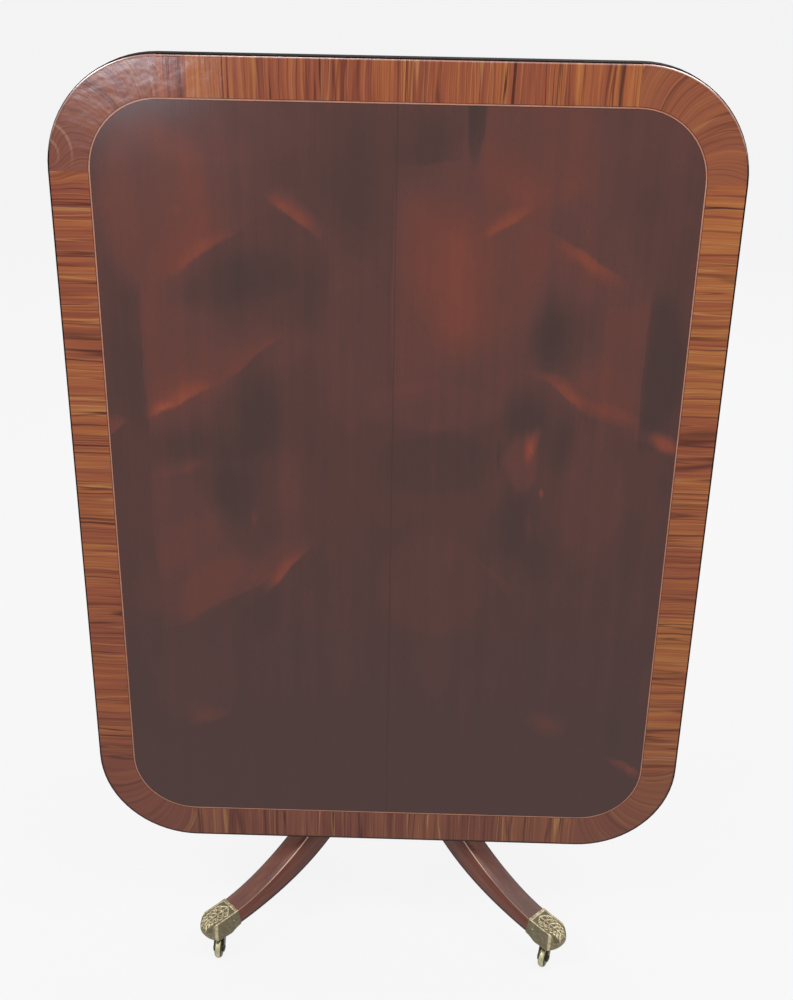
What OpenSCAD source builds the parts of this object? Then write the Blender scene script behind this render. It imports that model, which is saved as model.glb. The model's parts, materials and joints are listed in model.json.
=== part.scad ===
// Flip-top breakfast table: a crossbanded rectangular top on two bearers that tilts on
// a block, carried by a turned column on four sabre legs with brass cup castors.
// Millimetres. The origin is on the floor under the column. At rest the top stands
// upright with its face towards -Y, and it swings back and down to lie flat.

/* [Top] */
// Short side of the top
top_w = 915; // [700:1:1100]
// Long side of the top
top_l = 1220; // [1100:1:1320]
// Thickness of the top
top_t = 24; // [20:0.5:32]
// Radius of the four plan corners
corner_r = 150; // [80:1:220]
// Width of the hardwood lipping round the edge
lip_w = 5; // [4.5:0.1:10]
// Radius of the lipping's upper arris
lip_round = 4; // [1:0.1:4.2]
// Width of the crossbanding
band_w = 48.5; // [30:0.5:65]
// Width of each dark line beside the light stringing
dark_line_w = 0.8; // [0.5:0.1:2]
// Width of the light stringing
light_line_w = 1.8; // [1:0.1:4]
// Thickness of the veneers, and depth of the rebate they lie in
veneer_t = 1.5; // [0.8:0.1:3]

/* [Stand heights] */
// Height of the table with its top flat
table_h = 711; // [680:1:770]
// Height of the underside of the hub that the legs join
hub_bottom_z = 190; // [180:1:215]
// Least height of the top's lower edge when it stands upright over the legs
upright_low_z = 160; // [140:1:169]

/* [Block and pivot] */
// Width of the block along the pivot
block_w = 240; // [200:1:300]
// Thickness of the block
block_t = 45; // [42:1:60]
// Distance of the pivot line from the middle of the table
pivot_back = 120; // [100:1:140]
// Depth of the pivot line below the underside of the top
pivot_drop = 27; // [20:0.5:30]
// Radius of the pivot pins
pivot_pin_r = 6; // [4:0.1:8]
// Length of a pivot pin inside the block
pivot_pin_grip = 45; // [30:1:70]
// Radius of the pivot pin heads
pivot_head_r = 10; // [9:0.1:14]
// Thickness of the pivot pin heads
pivot_head_t = 3; // [2:0.1:5]
// Outer radius of the washers beside the block
washer_r = 11; // [9:0.1:15]
// Thickness of the washers beside the block
washer_t = 1; // [0.8:0.1:2]

/* [Bearers] */
// Length of the two bearers under the top
bearer_l = 1040; // [850:1:1080]
// Thickness of a bearer along the pivot
bearer_w = 28; // [24:1:40]
// Depth of a bearer below the top
bearer_d = 45; // [44:1:60]
// Depth left at the tip of a bearer
bearer_tip_d = 16; // [10:1:24]
// Length of the taper at each end of a bearer
bearer_taper_l = 110; // [60:1:130]
// Spacing of the screws along a bearer
bearer_screw_step = 205; // [180:1:205]
// Depth of the counterbore above a bearer screw head
bearer_screw_sink = 15; // [10:0.5:20]

/* [Locking bolts] */
// Distance of the locking bolts from the block's far edge
bolt_edge = 52; // [35:1:80]
// Radius of a locking bolt
bolt_r = 4; // [3:0.1:5]
// Travel of a locking bolt
bolt_throw = 14; // [10:0.5:18]
// Radius of the stop collar on a bolt
bolt_collar_r = 6.4; // [5.8:0.1:7]
// Thickness of the stop collar on a bolt
bolt_collar_t = 3; // [2:0.1:5]
// Wall of the barrel round a bolt
barrel_wall = 1.6; // [1.2:0.1:3]
// Thickness of the barrel's end wall and foot plate
barrel_plate_t = 2.5; // [2:0.1:4]
// Radius of the knob on a bolt
knob_r = 8; // [6:0.1:11]
// Side of the square keeper plates in the block
keeper_w = 26; // [24:0.5:32]
// Thickness of the keeper plates
keeper_t = 2; // [1.5:0.1:3]

/* [Column] */
// Radius of the hub that the legs join
hub_r = 48; // [44:0.5:60]
// Radius of the ring above the hub
ring_r = 54; // [50:0.5:66]
// Radius of the full part of the baluster
baluster_r = 47; // [40:0.5:58]
// Radius of the column's slender neck
neck_r = 24; // [22:0.5:32]
// Radius of the ring round the neck
neck_ring_r = 33; // [31:0.5:42]
// Radius of the capital under the block
capital_r = 58; // [50:0.5:70]
// Radius of the tenon in the block
tenon_r = 26; // [20:0.5:34]
// Thickness of the wedge in the tenon
wedge_t = 4; // [3:0.1:7]

/* [Legs] */
// Width of a leg
leg_w = 36; // [30:0.5:40]
// Height of a leg where it joins the column
leg_joint_h = 115; // [100:1:120]
// Width of the dovetail key at its back
key_w = 22; // [16:0.5:26]
// Width of the dovetail key at the shoulder
key_neck_w = 15; // [10:0.5:18]
// Depth of the dovetail key into the column
key_d = 16; // [10:0.5:18]
// Angle of a leg from the line of the pivot
leg_angle = 43.5; // [38:0.5:52]
// Radius from the column's middle to the castor pivots
foot_r = 364; // [335:0.5:395]
// Height of a leg's top line where it enters the cup
leg_end_top_z = 81; // [79:0.5:84]
// Height of a leg's underside where it enters the cup
leg_end_low_z = 53; // [50:0.5:56]

/* [Castors] */
// Radius of a castor wheel
wheel_r = 17; // [14:0.1:17.5]
// Width of a castor wheel
wheel_w = 10.5; // [8:0.5:13]
// Radius of the castor axles
axle_r = 2.5; // [2:0.1:3.5]
// Thickness of a fork cheek
cheek_t = 2.6; // [2:0.1:4]
// Distance of the wheel's axle behind the castor pivot
castor_trail = 10; // [6:0.5:11]
// Radius of the castor pivot pins
pintle_r = 3.5; // [2.5:0.1:4.5]
// Radius of the fork's round crown
crown_r = 10; // [8:0.1:11]
// Height of the underside of the cup's boss
cup_low_z = 41; // [40:0.1:43]
// Half width of a brass cup
cup_half_w = 19; // [18.6:0.1:22]
// Wall of a brass cup
cup_wall = 3; // [2.2:0.1:4]
// Radius of the pins that hold the cups on
cup_pin_r = 1.5; // [1:0.1:2]
// Heading of the front left castor's fork, away from its trail
heading_front_left = 86; // [60:1:120]
// Heading of the front right castor's fork
heading_front_right = 68; // [60:1:120]
// Heading of the rear left castor's fork
heading_rear_left = -70; // [-120:1:-60]
// Heading of the rear right castor's fork
heading_rear_right = -98; // [-120:1:-60]

/* [Fits] */
// Radial clearance of pins that turn or slide
run_gap = 0.05; // [0.02:0.01:0.1]
// Gap between a bearer and the block
bearer_gap = 1.2; // [1.1:0.1:2.5]
// Clearance of faces that pass each other
face_gap = 0.2; // [0.1:0.05:0.5]

/* [Hidden] */
$fn = 64;

// Each corner of the stand: side along X, side along Y
front_left = [-1, -1];
front_right = [1, -1];
rear_left = [-1, 1];
rear_right = [1, 1];

// Colours of the woods and metals
field_colour = "#5a3430";
band_colour = "#a05a32";
boxwood_colour = "#d9a27c";
dark_colour = "#3a1a16";
mahogany_colour = "#6b3a2c";
oak_colour = "#b08a5a";
brass_colour = "#a89868";
steel_colour = "#808080";

// Heights of the stand
block_top_z = table_h - top_t;
block_low_z = block_top_z - block_t;
pivot_z = block_top_z - pivot_drop;
pivot_reach = max(pivot_back, upright_low_z + top_l / 2 - pivot_z);
top_mid_z = pivot_z + pivot_reach;
pivot_y = -pivot_reach;
block_half_l = pivot_reach + pivot_drop;
block_round_gap = 0.5;
block_round_r = pivot_drop - block_round_gap;

// Rings of the top, counted inwards from its edge
band_in = lip_w + band_w;
light_in = band_in + dark_line_w;
dark_in = light_in + light_line_w;
rebate_in = dark_in + dark_line_w;
face_low = top_t - veneer_t;

// Bearers and their screws
bearer_x = block_w / 2 + bearer_gap;
screw_r = 2.4;
screw_head_r = 4.6;
screw_head_h = 2.6;
screw_into_top = 12;
screw_slot_w = 0.8;
screw_slot_d = 0.8;
counterbore_r = screw_head_r + 0.8;
bearer_screw_l = bearer_d - bearer_screw_sink + screw_into_top;
small_screw_r = 1.3;
small_screw_head_r = 2.5;
small_screw_head_h = 1.4;
small_screw_l = 12;

// Locking bolts, placed from the top's middle line
bolt_v = block_half_l - bolt_edge;
barrel_cavity_l = bolt_throw + bolt_collar_t + 2 * face_gap;
barrel_cavity_r = bolt_collar_r + 0.1;
barrel_r = barrel_cavity_r + barrel_wall;
barrel_x = bearer_x + bearer_w;
bolt_tip_set_in = 1;
bolt_neck_spare = 1;
knob_foot_t = 2;
knob_foot_r = bolt_r + 1.5;
barrel_foot_l = 40;
barrel_foot_w = 24;
barrel_screw_v = 14;
keeper_hole_r = bolt_r + 0.5;
keeper_hole_d = bolt_throw + 3;
keeper_screw_y = 8.5;

// Pivot pins
pivot_head_x = barrel_x + face_gap;

// Column turning, from the hub up to the tenon
column_top_z = block_low_z;
ring_z = hub_bottom_z + leg_joint_h;
ring_h = 14;
baluster_step_h = 8;
baluster_step_r = baluster_r - 7;
baluster_foot_r = baluster_r - 11;
baluster_low_z = ring_z + ring_h + baluster_step_h;
baluster_low_handle = [20, 42];
baluster_high_handle = [10, -172];
neck_step_h = 4;
neck_ring_h = 12;
neck_ring_z = column_top_z - 122;
neck_ring_mid_r = neck_ring_r - neck_ring_h / 2;
neck_high_z = neck_ring_z + neck_ring_h + neck_step_h;
bell_low_handle = [0, 46];
bell_high_handle = [-22, -6];
capital_step_h = 6;
capital_bead_r = 7;
capital_slab_h = 8;
capital_z = column_top_z - capital_slab_h;
capital_bead_mid_r = capital_r - 8;
bell_top_r = capital_bead_mid_r - 4;
bell_top_z = capital_z - 2 * capital_bead_r - capital_step_h;
tenon_top_z = block_top_z - 1;
wedge_h = 32;

// Leg lines in the plane of radius and height
leg_top_z = hub_bottom_z + leg_joint_h;
leg_end_r = foot_r - 24;
leg_end_low_r = leg_end_r - 5;
leg_flat_r = hub_r + 25;
leg_root_r = hub_r - 6;
leg_top_root_handle = [15, -34.5];
leg_top_toe_handle = [-141, 31];
leg_low_root_handle = [44, -24];
leg_low_toe_handle = [-186.5, 31.5];
tongue_l = 16;
tongue_root = 4;
tongue_low_step = 4;
tongue_top_step = 5;
tongue_low_z = leg_end_low_z + tongue_low_step;
tongue_top_z = leg_end_top_z - tongue_top_step;
tongue_half_w = cup_half_w - cup_wall;
plate_t = 2.5;
plate_arm_w = 24;
plate_arm_r = leg_flat_r - 3;
plate_hub_r = hub_r - 8;
plate_screw_r = hub_r + 15;
plate_screw_l = 24;

// Brass cups in the plane of radius and height
cup_nose_round = 16.8;
cup_nose_r = foot_r + 16;
cup_nose_z = cup_low_z + cup_nose_round + 1.4;
cup_proud = 1;
cup_top_handle = [14, -3];
cup_nose_handle = [-12, 2];
cup_heel_r = foot_r - 9;
cup_heel_z = cup_low_z + 2;
cup_heel_handle = [-5, 1];
cup_heel_end_handle = [12, -3];
cup_boss_r = crown_r + 1;
cup_floor_z = cup_low_z + 7;
cup_back_r = leg_end_low_r - 10;
hollow_back_r = leg_end_low_r - 6;
hollow_heel_r = leg_end_low_r + 9;
hollow_floor_back_r = foot_r - 8;
hollow_floor_nose_r = cup_nose_r - 4;
hollow_nose_r = cup_nose_r + 5;
hollow_nose_low_z = cup_nose_z - 4;
hollow_nose_top_z = cup_nose_z + 6;
hollow_slope_r = cup_nose_r - 3;
hollow_slope_z = tongue_top_z - 8;
hollow_tip_gap = 1;
cup_pin_z = (tongue_low_z + tongue_top_z) / 2;
cup_pin_at = leg_end_r + 9;
cup_pin_l = 9;

// Castor forks and wheels
fork_gap = 0.6;
cheek_top_half_l = crown_r - 1.5;
fork_inner = wheel_w / 2 + fork_gap;
fork_outer = fork_inner + cheek_t;
crown_top_z = cup_low_z - face_gap;
crown_low_z = 2 * wheel_r + 1.5;
crown_disc_t = 3;
cheek_top_z = crown_low_z + 1;
cheek_r = 7;
pintle_head_r = 5.5;
pintle_head_t = 2.2;
pintle_low_z = crown_low_z + 1;
axle_head_r = 3.8;
axle_head_t = 1;
tread_fall = 3;

// Curves
function bezier_point(p, t) =
    pow(1 - t, 3) * p[0] + 3 * pow(1 - t, 2) * t * p[1] + 3 * (1 - t) * t * t * p[2] + t * t * t * p[3];
// A curve from one point to another, bent by a handle at each end
function curve(from, from_handle, to, to_handle, steps) =
    [for (i = [0:steps]) bezier_point([from, from + from_handle, to + to_handle, to], i / steps)];
function on_circle(centre, r, angle) = centre + r * [cos(angle), sin(angle)];
function arc(centre, r, from, to, steps) =
    [for (i = [0:steps]) on_circle(centre, r, from + (to - from) * i / steps)];

// Placing: the top is drawn lying flat about its own middle, with its underside at zero
module on_top() {
    translate([0, pivot_y - pivot_drop, top_mid_z])
        rotate([90, 0, 0])
            children();
}

// Placing: a leg is drawn along X and turned to its corner
function corner_angle(corner) = atan2(corner[1] * sin(leg_angle), corner[0] * cos(leg_angle));

module at_corner(corner) {
    rotate([0, 0, corner_angle(corner)])
        children();
}

// Placing: a castor is drawn about its own pivot with the wheel trailing towards -X
function castor_heading(corner) =
    corner == front_left ? heading_front_left :
    corner == front_right ? heading_front_right :
    corner == rear_left ? heading_rear_left : heading_rear_right;

module at_castor(corner) {
    at_corner(corner)
        translate([foot_r, 0, 0])
            rotate([0, 0, castor_heading(corner) - corner_angle(corner)])
                children();
}

// Plan outline of the top, drawn in from its edge
module plan(inset) {
    half_w = top_w / 2 - inset;
    half_l = top_l / 2 - inset;
    r = corner_r - inset;
    square([2 * half_w, 2 * (half_l - r)], center = true);
    square([2 * (half_w - r), 2 * half_l], center = true);
    for (x = [-1, 1], y = [-1, 1])
        translate([x * (half_w - r), y * (half_l - r)])
            circle(r);
}

module ring(inset, w) {
    translate([0, 0, face_low])
        linear_extrude(veneer_t)
            difference() {
                plan(inset);
                plan(inset + w);
            }
}

// Countersunk screw with its head at zero and its point downwards
module screw_body(r, l, head_r, head_h) {
    translate([0, 0, -head_h])
        cylinder(h = head_h, r1 = r, r2 = head_r);
    translate([0, 0, -l])
        cylinder(h = l, r = r);
}

module screw(r, l, head_r, head_h) {
    difference() {
        screw_body(r, l, head_r, head_h);
        translate([-head_r, -screw_slot_w / 2, -screw_slot_d])
            cube([2 * head_r, screw_slot_w, 2 * screw_slot_d]);
    }
}

module wood_screw_body() {
    screw_body(screw_r, bearer_screw_l, screw_head_r, screw_head_h);
}

module small_screw_body() {
    screw_body(small_screw_r, small_screw_l, small_screw_head_r, small_screw_head_h);
}

module small_screw() {
    screw(small_screw_r, small_screw_l, small_screw_head_r, small_screw_head_h);
}

// Places of the screws that hold the bearers to the top
module at_bearer_screws(side) {
    for (i = [-2:2])
        translate([side * (bearer_x + bearer_w / 2), i * bearer_screw_step, bearer_screw_sink - bearer_d])
            rotate([180, 0, 0])
                children();
}

// Top boards, with a rebate round the edge for the banding
module board(side) {
    color(field_colour)
        on_top()
            difference() {
                intersection() {
                    linear_extrude(top_t)
                        plan(lip_w);
                    translate([side > 0 ? 0 : -top_w, -top_l, 0])
                        cube([top_w, 2 * top_l, top_t]);
                }
                ring(lip_w, rebate_in - lip_w);
                at_bearer_screws(side)
                    wood_screw_body();
            }
}

module crossband_side(side) {
    color(band_colour)
        on_top()
            translate([side > 0 ? top_w / 2 - band_in : -top_w / 2 + lip_w, corner_r - top_l / 2, face_low])
                cube([band_w, top_l - 2 * corner_r, veneer_t]);
}

module crossband_end(side) {
    color(band_colour)
        on_top()
            translate([corner_r - top_w / 2, side > 0 ? top_l / 2 - band_in : -top_l / 2 + lip_w, face_low])
                cube([top_w - 2 * corner_r, band_w, veneer_t]);
}

module crossband_corner(x, y) {
    color(band_colour)
        on_top()
            translate([x * (top_w / 2 - corner_r), y * (top_l / 2 - corner_r), face_low])
                rotate([0, 0, atan2(y, x) - 45])
                    rotate_extrude(angle = 90)
                        translate([corner_r - band_in, 0])
                            square([band_w, veneer_t]);
}

module dark_line_outer() {
    color(dark_colour)
        on_top()
            ring(band_in, dark_line_w);
}

module light_stringing() {
    color(boxwood_colour)
        on_top()
            ring(light_in, light_line_w);
}

module dark_line_inner() {
    color(dark_colour)
        on_top()
            ring(dark_in, dark_line_w);
}

// Section of the lipping, with its outer side at zero
module lip_section() {
    translate([-lip_w, 0])
        square([lip_w, top_t - lip_round]);
    translate([-lip_w, 0])
        square([lip_w - lip_round, top_t]);
    intersection() {
        translate([-lip_round, top_t - lip_round])
            circle(lip_round);
        translate([-lip_w, 0])
            square([lip_w, top_t]);
    }
}

module lip_run(l) {
    translate([0, l / 2, 0])
        rotate([90, 0, 0])
            linear_extrude(l)
                lip_section();
}

module edge_lipping() {
    color(dark_colour)
        on_top() {
            for (turn = [0, 180])
                rotate([0, 0, turn]) {
                    translate([top_w / 2, 0, 0])
                        lip_run(top_l - 2 * corner_r);
                    translate([0, top_l / 2, 0])
                        rotate([0, 0, 90])
                            lip_run(top_w - 2 * corner_r);
                }
            for (x = [-1, 1], y = [-1, 1])
                translate([x * (top_w / 2 - corner_r), y * (top_l / 2 - corner_r), 0])
                    rotate([0, 0, atan2(y, x) - 45])
                        rotate_extrude(angle = 90)
                            translate([corner_r, 0])
                                lip_section();
        }
}

// Bearer under the top, drawn from its side and tapered at both ends
module bearer(side) {
    half_l = bearer_l / 2;
    color(mahogany_colour)
        on_top()
            difference() {
                translate([side > 0 ? bearer_x : -bearer_x - bearer_w, 0, 0])
                    rotate([90, 0, 90])
                        linear_extrude(bearer_w)
                            polygon([
                                [-half_l, 0],
                                [-half_l, -bearer_tip_d],
                                [bearer_taper_l - half_l, -bearer_d],
                                [half_l - bearer_taper_l, -bearer_d],
                                [half_l, -bearer_tip_d],
                                [half_l, 0]
                            ]);
                translate([side > 0 ? bearer_x - 1 : -bearer_x - bearer_w - 1, -pivot_reach, -pivot_drop])
                    rotate([0, 90, 0])
                        cylinder(h = bearer_w + 2, r = pivot_pin_r + run_gap);
                translate([side > 0 ? bearer_x - 1 : -bearer_x - bearer_w - 1, bolt_v, -pivot_drop])
                    rotate([0, 90, 0])
                        cylinder(h = bearer_w + 2, r = bolt_r + run_gap);
                at_bearer_screws(side)
                    wood_screw_body();
                at_bearer_screws(side)
                    cylinder(h = bearer_screw_sink + 1, r = counterbore_r);
                at_barrel_screws(side)
                    small_screw_body();
            }
}

module bearer_screws() {
    color(steel_colour)
        on_top()
            for (side = [-1, 1])
                at_bearer_screws(side)
                    screw(screw_r, bearer_screw_l, screw_head_r, screw_head_h);
}

// Placing: a locking bolt is drawn pointing out along Z from the bearer's outer face
module at_barrel(side) {
    translate([side * barrel_x, bolt_v, -pivot_drop])
        rotate([0, side * 90, 0])
            children();
}

module at_barrel_screws(side) {
    at_barrel(side)
        for (v = [-1, 1])
            translate([0, v * barrel_screw_v, barrel_plate_t])
                children();
}

module bolt_barrel(side) {
    color(brass_colour)
        on_top()
            difference() {
                at_barrel(side) {
                    translate([-barrel_foot_w / 2, -barrel_foot_l / 2, 0])
                        cube([barrel_foot_w, barrel_foot_l, barrel_plate_t]);
                    cylinder(h = barrel_cavity_l + barrel_plate_t, r = barrel_r);
                }
                at_barrel(side) {
                    translate([0, 0, -1])
                        cylinder(h = barrel_cavity_l + 1, r = barrel_cavity_r);
                    cylinder(h = barrel_cavity_l + barrel_plate_t + 1, r = bolt_r + run_gap);
                }
                at_barrel_screws(side)
                    small_screw_body();
            }
}

module barrel_screws() {
    color(steel_colour)
        on_top()
            for (side = [-1, 1])
                at_barrel_screws(side)
                    small_screw();
}

// Locking bolt with its stop collar and turned knob, drawn back
module bolt(side) {
    tip = bolt_tip_set_in - bearer_w;
    neck_end = barrel_cavity_l + barrel_plate_t + bolt_throw + bolt_neck_spare;
    collar = barrel_cavity_l - face_gap - bolt_collar_t;
    color(brass_colour)
        on_top()
            at_barrel(side) {
                translate([0, 0, tip])
                    cylinder(h = neck_end - tip + knob_foot_t, r = bolt_r);
                translate([0, 0, collar])
                    cylinder(h = bolt_collar_t, r = bolt_collar_r);
                translate([0, 0, neck_end])
                    cylinder(h = knob_foot_t, r = knob_foot_r);
                translate([0, 0, neck_end + knob_r])
                    sphere(knob_r);
            }
}

// Block that carries the top, rounded about the pivot line
module block() {
    color(mahogany_colour)
        difference() {
            union() {
                translate([-block_w / 2, pivot_y, block_low_z])
                    cube([block_w, block_half_l - pivot_y, block_t]);
                translate([-block_w / 2, -block_half_l, block_low_z])
                    cube([block_w, pivot_drop, pivot_z - block_low_z]);
                intersection() {
                    translate([-block_w / 2, pivot_y, pivot_z])
                        rotate([0, 90, 0])
                            cylinder(h = block_w, r = block_round_r);
                    translate([-block_w / 2, -block_half_l, block_low_z])
                        cube([block_w, 2 * pivot_drop, block_t]);
                }
            }
            translate([0, 0, block_low_z - 1])
                cylinder(h = block_t + 2, r = tenon_r);
            for (side = [-1, 1]) {
                translate([side * (block_w / 2 - pivot_pin_grip), pivot_y, pivot_z])
                    rotate([0, side * 90, 0])
                        cylinder(h = pivot_pin_grip + 1, r = pivot_pin_r);
                at_keeper(side) {
                    translate([-keeper_w / 2, -keeper_w / 2, -keeper_t])
                        cube([keeper_w, keeper_w, keeper_t + 1]);
                    translate([0, 0, -keeper_hole_d])
                        cylinder(h = keeper_hole_d, r = keeper_hole_r);
                }
                at_keeper_screws(side)
                    small_screw_body();
            }
        }
}

// Placing: a keeper is drawn with its face at zero, looking out of the block
module at_keeper(side) {
    translate([side * block_w / 2, bolt_v, pivot_z])
        rotate([0, side * 90, 0])
            children();
}

module at_keeper_screws(side) {
    at_keeper(side)
        for (y = [-1, 1])
            translate([0, y * keeper_screw_y, 0])
                children();
}

module keeper(side) {
    color(brass_colour)
        difference() {
            at_keeper(side)
                translate([-keeper_w / 2, -keeper_w / 2, -keeper_t])
                    cube([keeper_w, keeper_w, keeper_t]);
            at_keeper(side)
                translate([0, 0, -keeper_t - 1])
                    cylinder(h = keeper_t + 2, r = keeper_hole_r);
            at_keeper_screws(side)
                small_screw_body();
        }
}

module keeper_screws() {
    color(steel_colour)
        for (side = [-1, 1])
            at_keeper_screws(side)
                small_screw();
}

module pivot_pin(side) {
    inner = block_w / 2 - pivot_pin_grip;
    color(steel_colour)
        translate([side * inner, pivot_y, pivot_z])
            rotate([0, side * 90, 0]) {
                cylinder(h = pivot_head_x - inner, r = pivot_pin_r);
                translate([0, 0, pivot_head_x - inner])
                    cylinder(h = pivot_head_t, r = pivot_head_r);
            }
}

module pivot_washers() {
    color(brass_colour)
        for (side = [-1, 1])
            translate([side * block_w / 2, pivot_y, pivot_z])
                rotate([0, side * 90, 0])
                    difference() {
                        cylinder(h = washer_t, r = washer_r);
                        translate([0, 0, -1])
                            cylinder(h = washer_t + 2, r = pivot_pin_r);
                    }
}

// Plan of a leg's dovetail key, widest at its back
module key_plan() {
    polygon([
        [hub_r - key_d, -key_w / 2],
        [hub_r, -key_neck_w / 2],
        [hub_r, key_neck_w / 2],
        [hub_r - key_d, key_w / 2]
    ]);
}

module leg_key() {
    translate([0, 0, hub_bottom_z])
        linear_extrude(leg_joint_h)
            key_plan();
}

// Turned outline of the column, from the hub up to the tenon
function column_outline() = concat(
    [[0, hub_bottom_z], [hub_r, hub_bottom_z], [hub_r, ring_z]],
    arc([ring_r - ring_h / 2, ring_z + ring_h / 2], ring_h / 2, -90, 90, 10),
    [[baluster_step_r, ring_z + ring_h], [baluster_step_r, baluster_low_z]],
    curve([baluster_foot_r, baluster_low_z], baluster_low_handle,
        [neck_r, neck_ring_z - neck_step_h], baluster_high_handle, 20),
    [[neck_ring_mid_r, neck_ring_z - neck_step_h]],
    arc([neck_ring_mid_r, neck_ring_z + neck_ring_h / 2], neck_ring_h / 2, -90, 90, 10),
    [[neck_ring_mid_r, neck_high_z]],
    curve([neck_r, neck_high_z], bell_low_handle, [bell_top_r, bell_top_z], bell_high_handle, 12),
    [[capital_bead_mid_r, bell_top_z], [capital_bead_mid_r, bell_top_z + capital_step_h]],
    arc([capital_bead_mid_r, capital_z - capital_bead_r], capital_bead_r, -90, 90, 8),
    [[capital_r, capital_z], [capital_r, column_top_z]],
    [[tenon_r, column_top_z], [tenon_r, tenon_top_z], [0, tenon_top_z]]
);

module wedge_body() {
    translate([-wedge_t / 2, -tenon_r, tenon_top_z - wedge_h])
        cube([wedge_t, 2 * tenon_r, wedge_h]);
}

module column() {
    color(mahogany_colour)
        difference() {
            rotate_extrude()
                polygon(column_outline());
            for (corner = [front_left, front_right, rear_left, rear_right])
                at_corner(corner)
                    leg_key();
            wedge_body();
            at_plate_screws()
                screw_body(screw_r, plate_screw_l, screw_head_r, screw_head_h);
        }
}

module tenon_wedge() {
    color(oak_colour)
        intersection() {
            wedge_body();
            translate([0, 0, tenon_top_z - wedge_h])
                cylinder(h = wedge_h, r = tenon_r);
        }
}

// Leg seen from its side, from the root inside the hub to the end inside the cup
function leg_outline() = concat(
    [[leg_root_r, leg_top_z]],
    curve([hub_r, leg_top_z], leg_top_root_handle, [leg_end_r, leg_end_top_z], leg_top_toe_handle, 24),
    curve([leg_end_low_r, leg_end_low_z], leg_low_toe_handle,
        [leg_flat_r, hub_bottom_z], leg_low_root_handle, 20),
    [[leg_root_r, hub_bottom_z]]
);

module leg_sheet(w) {
    rotate([90, 0, 0])
        translate([0, 0, -w / 2])
            linear_extrude(w)
                children();
}

// Tongue that the leg ends in, inside the cup
module leg_tongue() {
    leg_sheet(2 * tongue_half_w)
        polygon([
            [leg_end_low_r - tongue_root, tongue_low_z],
            [leg_end_r + tongue_l, tongue_low_z],
            [leg_end_r + tongue_l, tongue_top_z],
            [leg_end_r - tongue_root, tongue_top_z]
        ]);
}

module at_cup_pins() {
    for (side = [-1, 1])
        translate([cup_pin_at, side * cup_half_w, cup_pin_z])
            rotate([side * -90, 0, 0])
                children();
}

module leg(corner) {
    color(mahogany_colour)
        at_corner(corner)
            difference() {
                union() {
                    difference() {
                        leg_sheet(leg_w)
                            polygon(leg_outline());
                        translate([0, 0, hub_bottom_z - 1])
                            cylinder(h = leg_joint_h + 2, r = hub_r);
                    }
                    intersection() {
                        leg_key();
                        translate([0, 0, hub_bottom_z - 1])
                            cylinder(h = leg_joint_h + 2, r = hub_r);
                    }
                    leg_tongue();
                }
                at_cup_pins()
                    translate([0, 0, -cup_pin_l])
                        cylinder(h = cup_pin_l, r = cup_pin_r);
                translate([plate_screw_r, 0, hub_bottom_z - plate_t])
                    rotate([180, 0, 0])
                        screw_body(screw_r, plate_screw_l, screw_head_r, screw_head_h);
            }
}

// Iron plate under the hub that ties the legs to the column
module at_plate_screws() {
    translate([0, 0, hub_bottom_z - plate_t])
        rotate([180, 0, 0])
            children();
    for (corner = [front_left, front_right, rear_left, rear_right])
        at_corner(corner)
            translate([plate_screw_r, 0, hub_bottom_z - plate_t])
                rotate([180, 0, 0])
                    children();
}

module leg_plate() {
    color(steel_colour)
        difference() {
            translate([0, 0, hub_bottom_z - plate_t]) {
                cylinder(h = plate_t, r = plate_hub_r);
                for (corner = [front_left, front_right, rear_left, rear_right])
                    at_corner(corner)
                        translate([0, -plate_arm_w / 2, 0])
                            cube([plate_arm_r, plate_arm_w, plate_t]);
            }
            at_plate_screws()
                screw_body(screw_r, plate_screw_l, screw_head_r, screw_head_h);
        }
}

module leg_plate_screws() {
    color(steel_colour)
        at_plate_screws()
            screw(screw_r, plate_screw_l, screw_head_r, screw_head_h);
}

// Cup seen from its side: top, rounded nose, boss over the castor, heel
function cup_outline() = concat(
    curve([leg_end_r, leg_end_top_z + cup_proud], cup_top_handle,
        [cup_nose_r, cup_nose_z + cup_nose_round], cup_nose_handle, 8),
    arc([cup_nose_r, cup_nose_z], cup_nose_round, 80, -90, 16),
    curve([cup_heel_r, cup_heel_z], cup_heel_handle,
        [leg_end_low_r, leg_end_low_z - cup_proud], cup_heel_end_handle, 8),
    [[leg_end_low_r, leg_end_low_z], [leg_end_r, leg_end_top_z]]
);

// Hollow of the cup, which holds the leg's tongue and the castor pin's head
function cup_hollow_outline() = [
    [hollow_back_r, tongue_low_z],
    [hollow_heel_r, tongue_low_z],
    [hollow_floor_back_r, cup_floor_z],
    [hollow_floor_nose_r, cup_floor_z],
    [hollow_nose_r, hollow_nose_low_z],
    [hollow_nose_r, hollow_nose_top_z],
    [hollow_slope_r, hollow_slope_z],
    [leg_end_r + tongue_l + hollow_tip_gap, tongue_top_z],
    [hollow_back_r, tongue_top_z]
];

module cup_plan(half_w) {
    linear_extrude(leg_top_z) {
        translate([cup_back_r, -half_w])
            square([cup_nose_r - cup_back_r, 2 * half_w]);
        translate([cup_nose_r, 0])
            circle(half_w);
    }
}

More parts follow.
